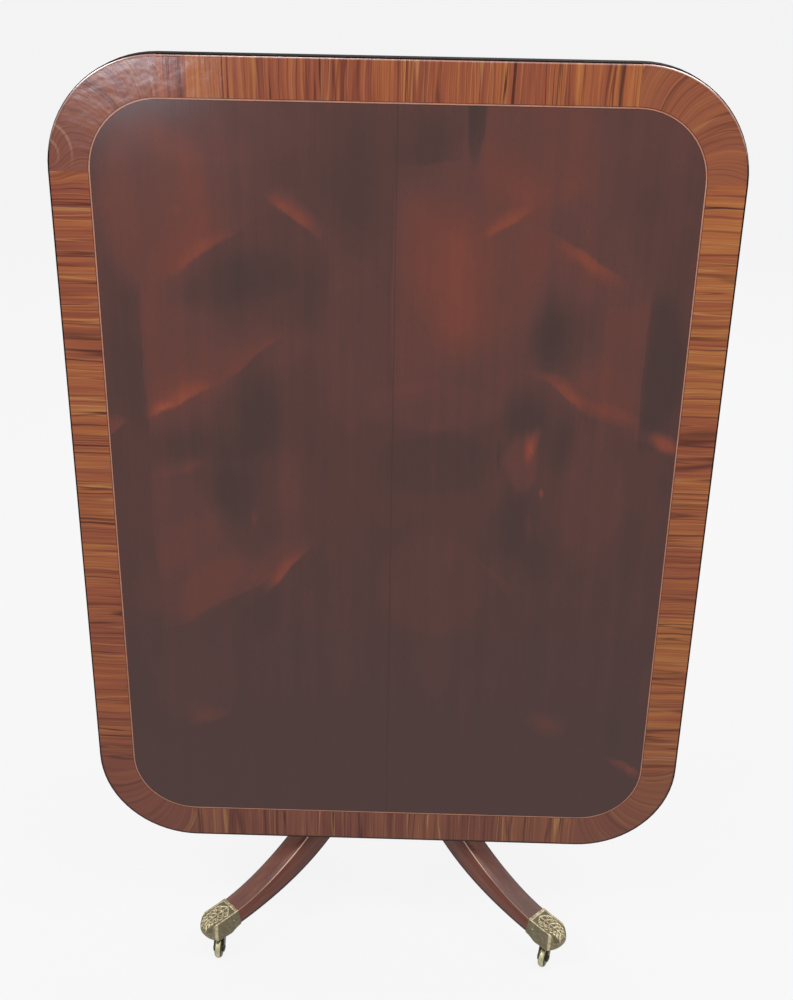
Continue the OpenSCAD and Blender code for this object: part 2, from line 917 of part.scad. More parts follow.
module cup(corner) {
    color(brass_colour)
        at_corner(corner)
            difference() {
                union() {
                    intersection() {
                        leg_sheet(2 * cup_half_w)
                            polygon(cup_outline());
                        cup_plan(cup_half_w);
                    }
                    translate([foot_r, 0, cup_low_z])
                        cylinder(h = cup_floor_z - cup_low_z, r = cup_boss_r);
                }
                intersection() {
                    leg_sheet(2 * tongue_half_w)
                        polygon(cup_hollow_outline());
                    cup_plan(tongue_half_w);
                }
                translate([foot_r, 0, cup_low_z - 1])
                    cylinder(h = cup_floor_z - cup_low_z + 2, r = pintle_r + run_gap);
                at_cup_pins()
                    translate([0, 0, -cup_pin_l])
                        cylinder(h = cup_pin_l + 1, r = cup_pin_r);
            }
}

module cup_pins() {
    color(brass_colour)
        for (corner = [front_left, front_right, rear_left, rear_right])
            at_corner(corner)
                at_cup_pins()
                    translate([0, 0, -cup_pin_l])
                        cylinder(h = cup_pin_l, r = cup_pin_r);
}

// Side of a fork cheek, from the crown down round the axle
module cheek_outline() {
    translate([-castor_trail, wheel_r])
        circle(cheek_r);
    polygon([
        [-castor_trail - cheek_r, wheel_r],
        [-castor_trail + cheek_r, wheel_r],
        [cheek_top_half_l, crown_low_z],
        [cheek_top_half_l, cheek_top_z],
        [-cheek_top_half_l, cheek_top_z],
        [-cheek_top_half_l, crown_low_z]
    ]);
}

module fork(corner) {
    color(brass_colour)
        at_castor(corner)
            difference() {
                union() {
                    translate([0, 0, crown_top_z - crown_disc_t])
                        cylinder(h = crown_disc_t, r = crown_r);
                    intersection() {
                        translate([-crown_r, -fork_outer, crown_low_z])
                            cube([2 * crown_r, 2 * fork_outer, crown_top_z - crown_disc_t - crown_low_z]);
                        translate([0, 0, crown_low_z])
                            cylinder(h = crown_top_z - crown_low_z, r = crown_r);
                    }
                    for (side = [-1, 1])
                        translate([0, side * (fork_inner + cheek_t / 2), 0])
                            leg_sheet(cheek_t)
                                cheek_outline();
                }
                translate([0, 0, pintle_low_z])
                    cylinder(h = crown_top_z, r = pintle_r);
                translate([-castor_trail, fork_outer + 1, wheel_r])
                    rotate([90, 0, 0])
                        cylinder(h = 2 * fork_outer + 2, r = axle_r);
            }
}

// Pin that the castor swivels on, riveted over inside the cup
module pintle(corner) {
    color(steel_colour)
        at_castor(corner) {
            translate([0, 0, pintle_low_z])
                cylinder(h = cup_floor_z + face_gap - pintle_low_z, r = pintle_r);
            translate([0, 0, cup_floor_z + face_gap])
                cylinder(h = pintle_head_t, r = pintle_head_r);
        }
}

module axle_pin(corner) {
    color(steel_colour)
        at_castor(corner)
            translate([-castor_trail, fork_outer, wheel_r])
                rotate([90, 0, 0]) {
                    cylinder(h = 2 * fork_outer, r = axle_r);
                    translate([0, 0, -axle_head_t])
                        cylinder(h = axle_head_t, r = axle_head_r);
                    translate([0, 0, 2 * fork_outer])
                        cylinder(h = axle_head_t, r = axle_head_r);
                }
}

// Half section of a wheel with a rounded tread, fullest in its middle
function wheel_outline() = concat(
    [[axle_r + run_gap, -wheel_w / 2]],
    [for (s = [-1:0.125:1]) [wheel_r - tread_fall * pow(abs(s), 3), s * wheel_w / 2]],
    [[axle_r + run_gap, wheel_w / 2]]
);

module wheel(corner) {
    color(brass_colour)
        at_castor(corner)
            translate([-castor_trail, 0, wheel_r])
                rotate([90, 0, 0])
                    rotate_extrude()
                        polygon(wheel_outline());
}

board(-1);  // board_left
board(1);  // board_right
crossband_side(-1);  // crossband_left
crossband_side(1);  // crossband_right
crossband_end(1);  // crossband_head
crossband_end(-1);  // crossband_foot
crossband_corner(-1, 1);  // corner_head_left
crossband_corner(1, 1);  // corner_head_right
crossband_corner(-1, -1);  // corner_foot_left
crossband_corner(1, -1);  // corner_foot_right
dark_line_outer();
light_stringing();
dark_line_inner();
edge_lipping();
bearer(-1);  // bearer_left
bearer(1);  // bearer_right
bearer_screws();
bolt_barrel(-1);  // bolt_barrel_left
bolt_barrel(1);  // bolt_barrel_right
bolt(-1);  // bolt_left
bolt(1);  // bolt_right
barrel_screws();
block();
keeper(-1);  // keeper_left
keeper(1);  // keeper_right
keeper_screws();
pivot_pin(-1);  // pivot_pin_left
pivot_pin(1);  // pivot_pin_right
pivot_washers();
column();
tenon_wedge();
leg_plate();
leg_plate_screws();
leg(front_left);  // leg_front_left
leg(front_right);  // leg_front_right
leg(rear_left);  // leg_rear_left
leg(rear_right);  // leg_rear_right
cup(front_left);  // cup_front_left
cup(front_right);  // cup_front_right
cup(rear_left);  // cup_rear_left
cup(rear_right);  // cup_rear_right
cup_pins();
fork(front_left);  // fork_front_left
fork(front_right);  // fork_front_right
fork(rear_left);  // fork_rear_left
fork(rear_right);  // fork_rear_right
pintle(front_left);  // pintle_front_left
pintle(front_right);  // pintle_front_right
pintle(rear_left);  // pintle_rear_left
pintle(rear_right);  // pintle_rear_right
axle_pin(front_left);  // axle_pin_front_left
axle_pin(front_right);  // axle_pin_front_right
axle_pin(rear_left);  // axle_pin_rear_left
axle_pin(rear_right);  // axle_pin_rear_right
wheel(front_left);  // wheel_front_left
wheel(front_right);  // wheel_front_right
wheel(rear_left);  // wheel_rear_left
wheel(rear_right);  // wheel_rear_right
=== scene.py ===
import json
import math

import bmesh
import bpy
from mathutils import Matrix, Vector


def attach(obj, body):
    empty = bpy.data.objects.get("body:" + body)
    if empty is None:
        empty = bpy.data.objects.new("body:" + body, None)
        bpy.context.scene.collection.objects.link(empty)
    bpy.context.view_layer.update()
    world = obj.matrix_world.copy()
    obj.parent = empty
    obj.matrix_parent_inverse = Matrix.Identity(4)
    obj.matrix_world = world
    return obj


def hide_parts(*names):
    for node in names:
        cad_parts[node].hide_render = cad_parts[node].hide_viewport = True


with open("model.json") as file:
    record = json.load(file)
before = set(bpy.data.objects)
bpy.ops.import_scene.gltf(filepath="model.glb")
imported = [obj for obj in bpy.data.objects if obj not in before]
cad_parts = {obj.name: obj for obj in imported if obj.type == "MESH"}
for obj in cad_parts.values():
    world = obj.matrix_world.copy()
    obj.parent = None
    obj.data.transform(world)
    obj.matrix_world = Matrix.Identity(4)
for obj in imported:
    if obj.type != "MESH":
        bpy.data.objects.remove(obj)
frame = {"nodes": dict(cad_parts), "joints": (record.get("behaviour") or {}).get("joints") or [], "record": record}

scene = bpy.context.scene
nodes = frame["nodes"]
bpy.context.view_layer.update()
bodyOf = {node: body for body, names in frame["record"]["behaviour"]["bodies"].items() for node in names}

# The top in metres, from the frame; the corner radius and the legs' angle are those of the CAD
edgePoints = [v.co for v in nodes["edge_lipping"].data.vertices]
topHalfW, faceY = max(p.x for p in edgePoints), min(p.y for p in edgePoints)
topLow, topHigh = min(p.z for p in edgePoints), max(p.z for p in edgePoints)
topHalfL, topMidZ = (topHigh - topLow) / 2, (topHigh + topLow) / 2
topCornerR, legAngle = 0.150, math.radians(43.5)
corners = {"front_left": (-1, -1), "front_right": (1, -1), "rear_left": (-1, 1), "rear_right": (1, 1)}


# Helpers for colours, nodes and meshes
def toLinear(hexCode):
    parts = [int(hexCode[i:i + 2], 16) / 255 for i in (1, 3, 5)]
    return tuple(c / 12.92 if c <= 0.04045 else ((c + 0.055) / 1.055) ** 2.4 for c in parts) + (1.0,)


def patternScale(mm):
    # texture scale that makes features about this many millimetres across
    return 1000 / mm


def addNode(tree, kind, links=None, output=0, ramp=None, **settings):
    # gives back the node's first output unless another is named, or the node itself for None
    node = tree.nodes.new("ShaderNode" + kind)
    for name, value in settings.items():
        setattr(node, name, value)
    for key, value in (links or {}).items():
        if isinstance(value, bpy.types.NodeSocket):
            tree.links.new(value, node.inputs[key])
        else:
            node.inputs[key].default_value = value
    if ramp:
        stops = node.color_ramp.elements
        stops[0].position, stops[0].color = ramp[0][0], toLinear(ramp[0][1])
        stops[1].position, stops[1].color = ramp[-1][0], toLinear(ramp[-1][1])
        for place, colour in ramp[1:-1]:
            stops.new(place).color = toLinear(colour)
    return node if output is None else node.outputs[output]


def newMaterial(name, **sockets):
    material = bpy.data.materials.new(name)
    material.use_nodes = True
    tree = material.node_tree
    shader = tree.nodes["Principled BSDF"]
    for socket, value in sockets.items():
        shader.inputs[socket.replace("_", " ")].default_value = value
    return material, tree, shader


def feed(tree, shader, links):
    for socket, value in links.items():
        tree.links.new(value, shader.inputs[socket])


def dress(material, *names):
    for name in names:
        for slot in nodes[name].material_slots:
            slot.material = material


def newPiece(name, verts, faces, material, body, stands=None, attributes=None, sharpDeg=35):
    mesh = bpy.data.meshes.new(name)
    mesh.from_pydata(verts, [], faces)
    for key, values in (attributes or {}).items():
        vectors = isinstance(values[0], tuple)
        layer = mesh.attributes.new(key, "FLOAT_VECTOR" if vectors else "FLOAT", "POINT")
        for item, value in zip(layer.data, values):
            setattr(item, "vector" if vectors else "value", value)
    finishMesh(mesh, sharpDeg)
    piece = bpy.data.objects.new(name, mesh)
    scene.collection.objects.link(piece)
    mesh.materials.append(material)
    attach(piece, body)
    if stands:
        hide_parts(stands)
    return piece


def finishMesh(mesh, sharpDeg, flatOver=None):
    bm = bmesh.new()
    bm.from_mesh(mesh)
    bmesh.ops.recalc_face_normals(bm, faces=bm.faces)
    least, most = math.radians(0.5), math.radians(sharpDeg)
    for face in bm.faces:
        # faces that curve on into the next are shaded smooth, flat ones stay flat
        curved = any(len(e.link_faces) == 2 and least < e.calc_face_angle() < most for e in face.edges)
        face.smooth = curved and not (flatOver and face.calc_area() > flatOver)
    bm.to_mesh(mesh)
    bm.free()
    mesh.set_sharp_from_angle(angle=math.radians(sharpDeg))


def finishedCopy(node, material, bevelMm=0.0, minEdgeMm=8.0, sharpDeg=35):
    # a CAD node's own shape with its long arrises softened and its curves shaded smooth
    mesh = nodes[node].data.copy()
    mesh.name = node + "_finished"
    bm = bmesh.new()
    bm.from_mesh(mesh)
    bmesh.ops.remove_doubles(bm, verts=bm.verts, dist=1e-6)
    bmesh.ops.dissolve_limit(bm, angle_limit=math.radians(0.3), verts=bm.verts, edges=bm.edges)
    if bevelMm:
        arrises = [e for e in bm.edges if len(e.link_faces) == 2
                   and e.calc_face_angle() > math.radians(30) and e.calc_length() > minEdgeMm / 1000]
        bmesh.ops.bevel(bm, geom=arrises, offset=bevelMm / 1000, segments=3, profile=0.5,
                        affect="EDGES", clamp_overlap=False)
    bm.to_mesh(mesh)
    bm.free()
    finishMesh(mesh, sharpDeg, flatOver=1e-4 if bevelMm else None)
    piece = bpy.data.objects.new(node + "_finished", mesh)
    scene.collection.objects.link(piece)
    mesh.materials.clear()
    mesh.materials.append(material)
    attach(piece, bodyOf[node])
    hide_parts(node)
    return piece


def bezier(p, t):
    a, b, c, d = (1 - t) ** 3, 3 * (1 - t) ** 2 * t, 3 * (1 - t) * t * t, t ** 3
    return tuple(a * p[0][i] + b * p[1][i] + c * p[2][i] + d * p[3][i] for i in (0, 1))


def smoothStep(low, high, value):
    t = min(max((value - low) / (high - low), 0.0), 1.0)
    return t * t * (3 - 2 * t)


def atCorner(corner, r, w, z):
    # from a leg's own plane, in mm, to the frame
    sx, sy = corners[corner]
    c, s = sx * math.cos(legAngle), sy * math.sin(legAngle)
    return ((r * c - w * s) / 1000, (r * s + w * c) / 1000, z / 1000)


def gridFaces(rows, n, rowSteps, steps):
    # quads between neighbouring points, for so many rows of n points and so many steps each way
    return [(i * n + j, i * n + (j + 1) % n, (i + 1) % rows * n + (j + 1) % n, (i + 1) % rows * n + j)
            for i in range(rowSteps) for j in range(steps)]


# Camera, solved from the sides of the top in the photograph: metres, degrees and millimetres
camera = {"place": (0.035224, -1.932245, 1.577633), "yaw": 0.9012, "pitch": 24.366, "roll": 1.0637,
          "lens": 48.168, "sensor": 36}
yaw, pitch, roll = (math.radians(camera[k]) for k in ("yaw", "pitch", "roll"))
ahead = Vector((-math.sin(yaw) * math.cos(pitch), math.cos(yaw) * math.cos(pitch), -math.sin(pitch)))
right = Vector((math.cos(yaw), math.sin(yaw), 0))
up = right.cross(ahead)
rolledRight = math.cos(roll) * right + math.sin(roll) * up
rolledUp = -math.sin(roll) * right + math.cos(roll) * up
cameraRows = [(*axis, 0) for axis in (rolledRight, rolledUp, -ahead)] + [(*camera["place"], 1)]
cameraData = bpy.data.cameras.new("Camera")
cameraData.sensor_fit = "VERTICAL"
cameraData.sensor_height = camera["sensor"]
cameraData.lens = camera["lens"]
cameraObject = bpy.data.objects.new("Camera", cameraData)
cameraObject.matrix_world = Matrix(cameraRows).transposed()
scene.collection.objects.link(cameraObject)
scene.camera = cameraObject
scene.view_settings.view_transform = "Standard"
print("camera set")

# Studio: an even pale backdrop that also shows in polished faces, and a dimmer light on matt ones
studio = {"backdrop": "#f5f5f5", "skyLight": 0.65, "floorGlow": 0.862, "floorSpill": 0.25,
          "floorTone": "#484848", "floorHalf": 60}
world = bpy.data.worlds.new("Studio")
scene.world = world
world.use_nodes = True
tree = world.node_tree
rays = addNode(tree, "LightPath", output=None)
seen = addNode(tree, "Math", {
    0: rays.outputs["Is Camera Ray"], 1: rays.outputs["Is Glossy Ray"]}, operation="MAXIMUM")
seen = addNode(tree, "Math", {0: seen, 1: rays.outputs["Is Transmission Ray"]}, operation="MAXIMUM")
strength = addNode(tree, "MapRange", {"Value": seen, "To Min": studio["skyLight"]})
sky = tree.nodes["Background"]
sky.inputs["Color"].default_value = toLinear(studio["backdrop"])
tree.links.new(strength, sky.inputs["Strength"])

floorMaterial = bpy.data.materials.new("Paper sweep, matt")
floorMaterial.use_nodes = True
tree = floorMaterial.node_tree
rays = addNode(tree, "LightPath", output=None)
direct = addNode(tree, "Math", {
    0: rays.outputs["Is Camera Ray"], 1: rays.outputs["Is Glossy Ray"]}, operation="MAXIMUM")
glow = addNode(tree, "MapRange", {
    "Value": direct, "To Min": studio["floorSpill"], "To Max": studio["floorGlow"]})
lit = addNode(tree, "Emission", {"Color": (1, 1, 1, 1), "Strength": glow})
matt = addNode(tree, "BsdfDiffuse", {"Color": toLinear(studio["floorTone"])})
both = addNode(tree, "AddShader", {0: lit, 1: matt})
tree.links.new(both, tree.nodes["Material Output"].inputs["Surface"])
floorMesh = bpy.data.meshes.new("Floor")
far = studio["floorHalf"]
floorMesh.from_pydata([(-far, -far, 0), (far, -far, 0), (far, far, 0), (-far, far, 0)], [], [(0, 1, 2, 3)])
floorMesh.materials.append(floorMaterial)
floor = bpy.data.objects.new("Floor", floorMesh)
scene.collection.objects.link(floor)

lamps = [
    {"name": "Key", "place": (-2.0, -1.1, 2.8), "aim": (-0.2, -0.15, 1.1), "size": (1.9, 0.8), "watts": 35},
    {"name": "Fill", "place": (1.4, -0.7, 2.7), "aim": (0.3, -0.15, 1.25), "size": (2.0, 0.9), "watts": 29.5},
    {"name": "Back", "place": (0.6, 3.2, 2.6), "aim": (0, 0, 0.5), "size": (2.2, 2.2), "watts": 38},
    {"name": "Above", "place": (-0.4, -1.5, 3.0), "aim": (0, -0.2, 1.0), "size": (0.5, 0.3), "watts": 4.5},
    # a small cool one that the polish of the upper left corner mirrors
    {"name": "Window", "place": (-0.76, -1.93, 1.225), "aim": (-0.36, -0.17, 1.37), "size": (0.28, 0.09),
     "watts": 3.2, "colour": (0.78, 0.88, 1.0)},
]
for lamp in lamps:
    data = bpy.data.lights.new(lamp["name"], "AREA")
    data.shape = "RECTANGLE"
    data.size, data.size_y = lamp["size"]
    data.energy = lamp["watts"]
    data.color = lamp.get("colour", (1, 1, 1))
    lampObject = bpy.data.objects.new(lamp["name"], data)
    lampObject.location = lamp["place"]
    beam = Vector(lamp["aim"]) - Vector(lamp["place"])
    lampObject.rotation_euler = beam.to_track_quat("-Z", "Y").to_euler()
    scene.collection.objects.link(lampObject)
print("studio set")

# Field of the top: two bookmatched veneers, each mark of their figure, and one painted reflection, placed on the
# face in mm
field = {
    "ramp": [(0.0, "#2b1d1d"), (0.16, "#3c2623"), (0.32, "#4c2d28"), (0.45, "#5b332d"), (0.62, "#6f372b"),
             (0.80, "#863f2d"), (1.0, "#a05438")],
    "base": 0.38,
    # layers of grain: mm across, mm along, weight, detail
    "grain": [(2.0, 120, 0.08, 4.0), (18, 480, 0.17, 3.0), (60, 90, 0.14, 3.0)],
    "fibreMm": (3.5, 110), "poreMm": (0.7, 9), "bareMm": (9, 480), "waveMm": 70, "waveBy": (0.008, 0, 0.028),
    "grey": "#4a322f", "seam": "#351c18", "pore": "#24130f",
    "bareRamp": [(0.28, "#452a1f"), (0.5, "#5f3b2b"), (0.74, "#80553f")],
    "marks": [
        # x, z, turn, half length, half width and strength, then whether it is cut off on the low or high side
        # of its middle line, and whether it is flat over most of its width
        # crests of the left board, each with a crisp lower edge and a glow above it
        (-292, 922, 27, 72, 62, 0.13, "low"), (-297, 922, 26, 66, 26, 0.18, "low"),
        (-330, 908, 26, 30, 24, 0.14, "low"), (-192, 990, 41, 84, 60, 0.12, "low"),
        (-200, 983, 41, 70, 18, 0.07, "low"), (-345, 985, 90, 125, 150, 0.13, "high", "flat"),
        (-255, 1141, 34, 96, 66, 0.12, "low"), (-252, 1141, 34, 68, 22, 0.15, "low"),
        (-325, 1200, 90, 140, 92, 0.15, "flat"), (-235, 1235, 90, 100, 90, 0.08),
        (-290, 1190, 90, 15, 10, 0.08), (-137, 1185, -40, 56, 28, 0.32, "low"),
        (-150, 1213, 20, 28, 24, 0.12), (-392, 884, 28, 28, 26, 0.22, "low"),
        (-303, 818, 24, 56, 28, 0.08, "low"), (-288, 827, 30, 20, 13, 0.07),
        (-345, 740, 90, 110, 120, 0.07, "high", "flat"), (-145, 668, 50, 76, 70, 0.14, "low"),
        (-150, 662, 50, 56, 22, 0.24, "low"), (-165, 642, 40, 26, 16, 0.09, "low"),
        (-240, 612, 32, 100, 84, 0.13, "low", "flat"), (-290, 660, 60, 120, 80, 0.08, "flat"),
        (-145, 790, 90, 120, 34, 0.07), (-199, 745, 90, 20, 7, 0.12), (-278, 392, 24, 44, 36, 0.18, "low"),
        (-288, 408, 0, 52, 34, 0.10), (-300, 460, 90, 80, 76, 0.05, "flat"), (-70, 500, 90, 80, 22, 0.05),
        (-55, 1010, 90, 150, 60, 0.06, "flat"), (-365, 335, 90, 30, 22, 0.05), (-150, 1000, 41, 80, 40, 0.06),
        (-240, 1300, 90, 60, 130, 0.05, "flat"),
        # dark parts of the left board
        (-205, 1100, 24, 105, 52, -0.11), (-55, 1240, 90, 130, 66, -0.09), (-190, 905, 90, 95, 52, -0.13),
        (-225, 790, 90, 95, 50, -0.12), (-345, 985, 90, 150, 60, -0.06, "low", "flat"),
        (-190, 590, 90, 60, 40, -0.07), (-385, 450, 90, 90, 30, -0.05), (-110, 1090, 90, 90, 44, -0.06),
        (-255, 860, 0, 90, 34, -0.06),
        # the right board, warm beside the seam and over most of its upper half
        (-1, 1085, 90, 178, 150, 0.12, "high", "flat"), (110, 1150, 90, 170, 120, 0.08, "flat"),
        (190, 1090, 90, 200, 190, 0.08, "flat"), (180, 1290, 90, 110, 100, 0.10, "flat"),
        (280, 1290, 90, 90, 130, 0.05, "flat"), (60, 925, 0, 110, 44, 0.07, "flat"),
        (148, 1181, 34, 50, 24, 0.24, "low"), (262, 1141, -33, 78, 26, 0.24, "high"),
        (250, 1140, -33, 104, 90, 0.05, "high"), (347, 985, 90, 125, 130, 0.07, "low", "flat"),
        (236, 948, -42, 48, 22, 0.28, "low"), (300, 921, -20, 70, 20, 0.20), (208, 977, -16, 34, 11, 0.10),
        (296, 940, -20, 84, 74, 0.08, "low"), (386, 877, -32, 34, 17, 0.44), (358, 889, -20, 26, 15, 0.12),
        (199, 873, 77, 38, 11, 0.24), (188, 868, 90, 38, 24, 0.16, "high"),
        (184, 842, 90, 54, 28, 0.12, "flat"), (152, 850, 90, 45, 4, -0.12), (214, 795, 90, 12, 4.5, 0.36),
        # the wide faint mark at x 60, z 640 is a painted reflection, a lighter haze above the soft grey step
        (60, 640, 90, 110, 90, 0.06, "flat"), (148, 667, -42, 42, 11, 0.07, "high"),
        (171, 640, -70, 26, 10, 0.05), (285, 790, 90, 130, 60, 0.08, "flat"), (198, 740, 90, 34, 8, 0.09),
        (252, 408, -35, 56, 36, 0.12, "high"), (250, 402, 0, 50, 30, 0.14),
        (372, 334, -24, 40, 15, 0.42, "high"), (390, 318, -24, 22, 12, 0.30), (395, 470, 90, 62, 14, 0.10),
        (70, 500, 90, 90, 40, 0.05), (120, 400, 90, 120, 22, 0.04),
        # dark parts of the right board
        (45, 1262, 0, 62, 90, -0.10, "low"), (101, 1330, 90, 84, 14, -0.20, "flat"),
        (212, 1035, 90, 66, 34, -0.13), (236, 1025, 90, 90, 70, -0.12),
        (347, 985, 90, 140, 66, -0.16, "high", "flat"), (190, 915, 90, 66, 50, -0.13),
        (60, 838, 0, 100, 60, -0.05, "flat"), (180, 745, 90, 90, 50, -0.12), (216, 680, 90, 66, 32, -0.08),
        (350, 400, 90, 75, 26, -0.08), (350, 720, 90, 90, 30, -0.04), (240, 865, 90, 60, 34, -0.08),
    ],
}


def fieldVeneer():
    # deep red-brown with soft vertical grain under a thin gloss
    name = "Mahogany veneer, bookmatched and french polished"
    material, tree, shader = newMaterial(name, Specular_IOR_Level=0.36)
    place = addNode(tree, "TexCoord", output="Object")
    matched = addNode(tree, "VectorMath", {0: place}, operation="ABSOLUTE")
    wave = addNode(tree, "TexNoise", {
        "Vector": place, "Scale": patternScale(field["waveMm"]), "Detail": 3.0}, output="Color")
    wave = addNode(tree, "VectorMath", {0: wave, 1: (0.5, 0.5, 0.5)}, operation="SUBTRACT")
    wave = addNode(tree, "VectorMath", {0: wave, 1: field["waveBy"]}, operation="MULTIPLY")
    fibre, pore, bare = (
        addNode(tree, "Mapping", {"Vector": place, "Scale": (patternScale(x), 1, patternScale(z))})
        for x, z in (field["fibreMm"], field["poreMm"], field["bareMm"]))
    fibre = addNode(tree, "TexNoise", {"Vector": fibre, "Scale": 1.0, "Detail": 3.0})
    fibreShift = addNode(tree, "MapRange", {"Value": fibre, "To Min": -0.003, "To Max": 0.003})
    fibreShift = addNode(tree, "CombineXYZ", {"Z": fibreShift})
    markPlace = addNode(tree, "VectorMath", {0: place, 1: wave}, operation="ADD")
    markPlace = addNode(tree, "VectorMath", {0: markPlace, 1: fibreShift}, operation="ADD")

    tone = field["base"]
    for x, z, turn, halfL, halfW, strength, *cut in field["marks"]:
        local = addNode(tree, "Mapping", {
            "Vector": markPlace, "Location": (x / 1000, faceY, z / 1000),
            "Rotation": (0, -math.radians(turn), 0), "Scale": (halfL / 1000, 1, halfW / 1000)},
            vector_type="TEXTURE")
        glow = addNode(tree, "TexGradient", {"Vector": local}, output="Fac", gradient_type="SPHERICAL")
        if "low" in cut or "high" in cut:
            side = addNode(tree, "SeparateXYZ", {"Vector": local}, output="Z")
            soft = (5 if "low" in cut else -5) / halfW
            side = addNode(tree, "MapRange", {
                "Value": side, "From Min": -soft, "From Max": soft * 0.5}, interpolation_type="SMOOTHSTEP")
            glow = addNode(tree, "Math", {0: glow, 1: side}, operation="MULTIPLY")
        full = 0.4 if "flat" in cut else 0.8
        glow = addNode(tree, "MapRange", {
            "Value": glow, "From Max": full, "To Max": strength}, interpolation_type="SMOOTHSTEP")
        tone = addNode(tree, "Math", {0: glow, 1: tone}, operation="ADD")

    for across, along, weight, detail in field["grain"]:
        spread = addNode(tree, "Mapping", {
            "Vector": matched, "Scale": (patternScale(across), 1, patternScale(along))})
        grain = addNode(tree, "TexNoise", {
            "Vector": spread, "Scale": 1.0, "Detail": detail, "Roughness": 0.6})
        grain = addNode(tree, "Math", {0: grain, 1: -0.5}, operation="ADD")
        tone = addNode(tree, "Math", {0: grain, 1: weight, 2: tone}, operation="MULTIPLY_ADD")
    colour = addNode(tree, "ValToRGB", {"Fac": tone}, ramp=field["ramp"])

    # greyer below, slowly and then in one soft step, which is a painted reflection of the surroundings in the
    # gloss, with a fine dark joint and pores as short dark flecks
    height = addNode(tree, "SeparateXYZ", {"Vector": place}, output="Z")
    grey = addNode(tree, "MapRange", {"Value": height, "From Min": 0.80, "From Max": 0.30, "To Max": 0.36})
    step = addNode(tree, "MapRange", {
        "Value": height, "From Min": 0.572, "From Max": 0.552, "To Max": 0.22},
        interpolation_type="SMOOTHSTEP")
    grey = addNode(tree, "Math", {0: grey, 1: step}, operation="ADD")
    half = addNode(tree, "SeparateXYZ", {"Vector": matched}, output="X")
    seam = addNode(tree, "MapRange", {"Value": half, "From Min": 0.0010, "From Max": 0.0003, "To Max": 0.55})
    pore = addNode(tree, "TexNoise", {"Vector": pore, "Scale": 1.0})
    pore = addNode(tree, "MapRange", {"Value": pore, "From Min": 0.60, "From Max": 0.74, "To Max": 0.35})
    for amount, tint in ((grey, "grey"), (seam, "seam"), (pore, "pore")):
        colour = addNode(tree, "Mix", {
            0: amount, 6: colour, 7: toLinear(field[tint])}, output=2, data_type="RGBA")

    # the back of the boards is bare, dull and browner
    depth = addNode(tree, "SeparateXYZ", {"Vector": place}, output="Y")
    back = addNode(tree, "Math", {0: depth, 1: faceY + 0.003}, operation="GREATER_THAN")
    bare = addNode(tree, "TexNoise", {"Vector": bare, "Scale": 1.0, "Detail": 5.0, "Roughness": 0.62})
    bare = addNode(tree, "ValToRGB", {"Fac": bare}, ramp=field["bareRamp"])
    colour = addNode(tree, "Mix", {0: back, 6: colour, 7: bare}, output=2, data_type="RGBA")
    cloud = addNode(tree, "TexNoise", {
        "Vector": place, "Scale": patternScale(field["waveMm"]), "Detail": 3.0})
    rough = addNode(tree, "MapRange", {"Value": cloud, "To Min": 0.15, "To Max": 0.24})
    rough = addNode(tree, "Math", {0: back, 1: 0.45, 2: rough}, operation="MULTIPLY_ADD")
    bump = addNode(tree, "Bump", {"Strength": 0.25, "Distance": 0.0002, "Height": fibre})
    feed(tree, shader, {"Base Color": colour, "Roughness": rough, "Normal": bump})
    return material


# Crossbanding, grain square to the edge and fanned round the corners
band = {
    "ramp": [(0.0, "#5c2216"), (0.26, "#823f2a"), (0.5, "#984e31"), (0.74, "#ad6334"), (1.0, "#bf8040")],
    "lowRamp": [(0.0, "#52231b"), (0.3, "#703a2d"), (0.6, "#854c39"), (1.0, "#9c6340")],
    "brown": "#76443a", "pale": "#bb8f78", "line": "#471409", "gold": "#cf9a5c", "dirtAndShade": "#210f0c",
    "leafMm": 85,
    # streaks: mm along, mm across, weight, detail; lines: shift, mm apart, thickness, weight, colour
    "streaks": [(40, 400, 0.62, 2.0), (7, 400, 0.92, 3.0), (1.6, 110, 0.66, 2.0)],
    "lines": [(0, 11, 0.026, 0.95, "line"), (5, 17, 0.022, 0.45, "gold"), (9, 26, 0.034, 0.75, "line")],
    "fanR": 0.125,  # radius in a corner at which its streaks are as wide as on the sides
    "apart": (3.1, 7.3, 13.7, 23.9),  # shifts of the pattern, so that no two corners or sides look alike
    "width": 0.054, "leanBy": 0.014, "rimShadeWidth": 0.0052, "eyeRings": (0.30, 0.66),
    "eye": {"x": -456, "z": 1262, "acrossMm": 50, "upMm": 62, "shift": 0.045},
}


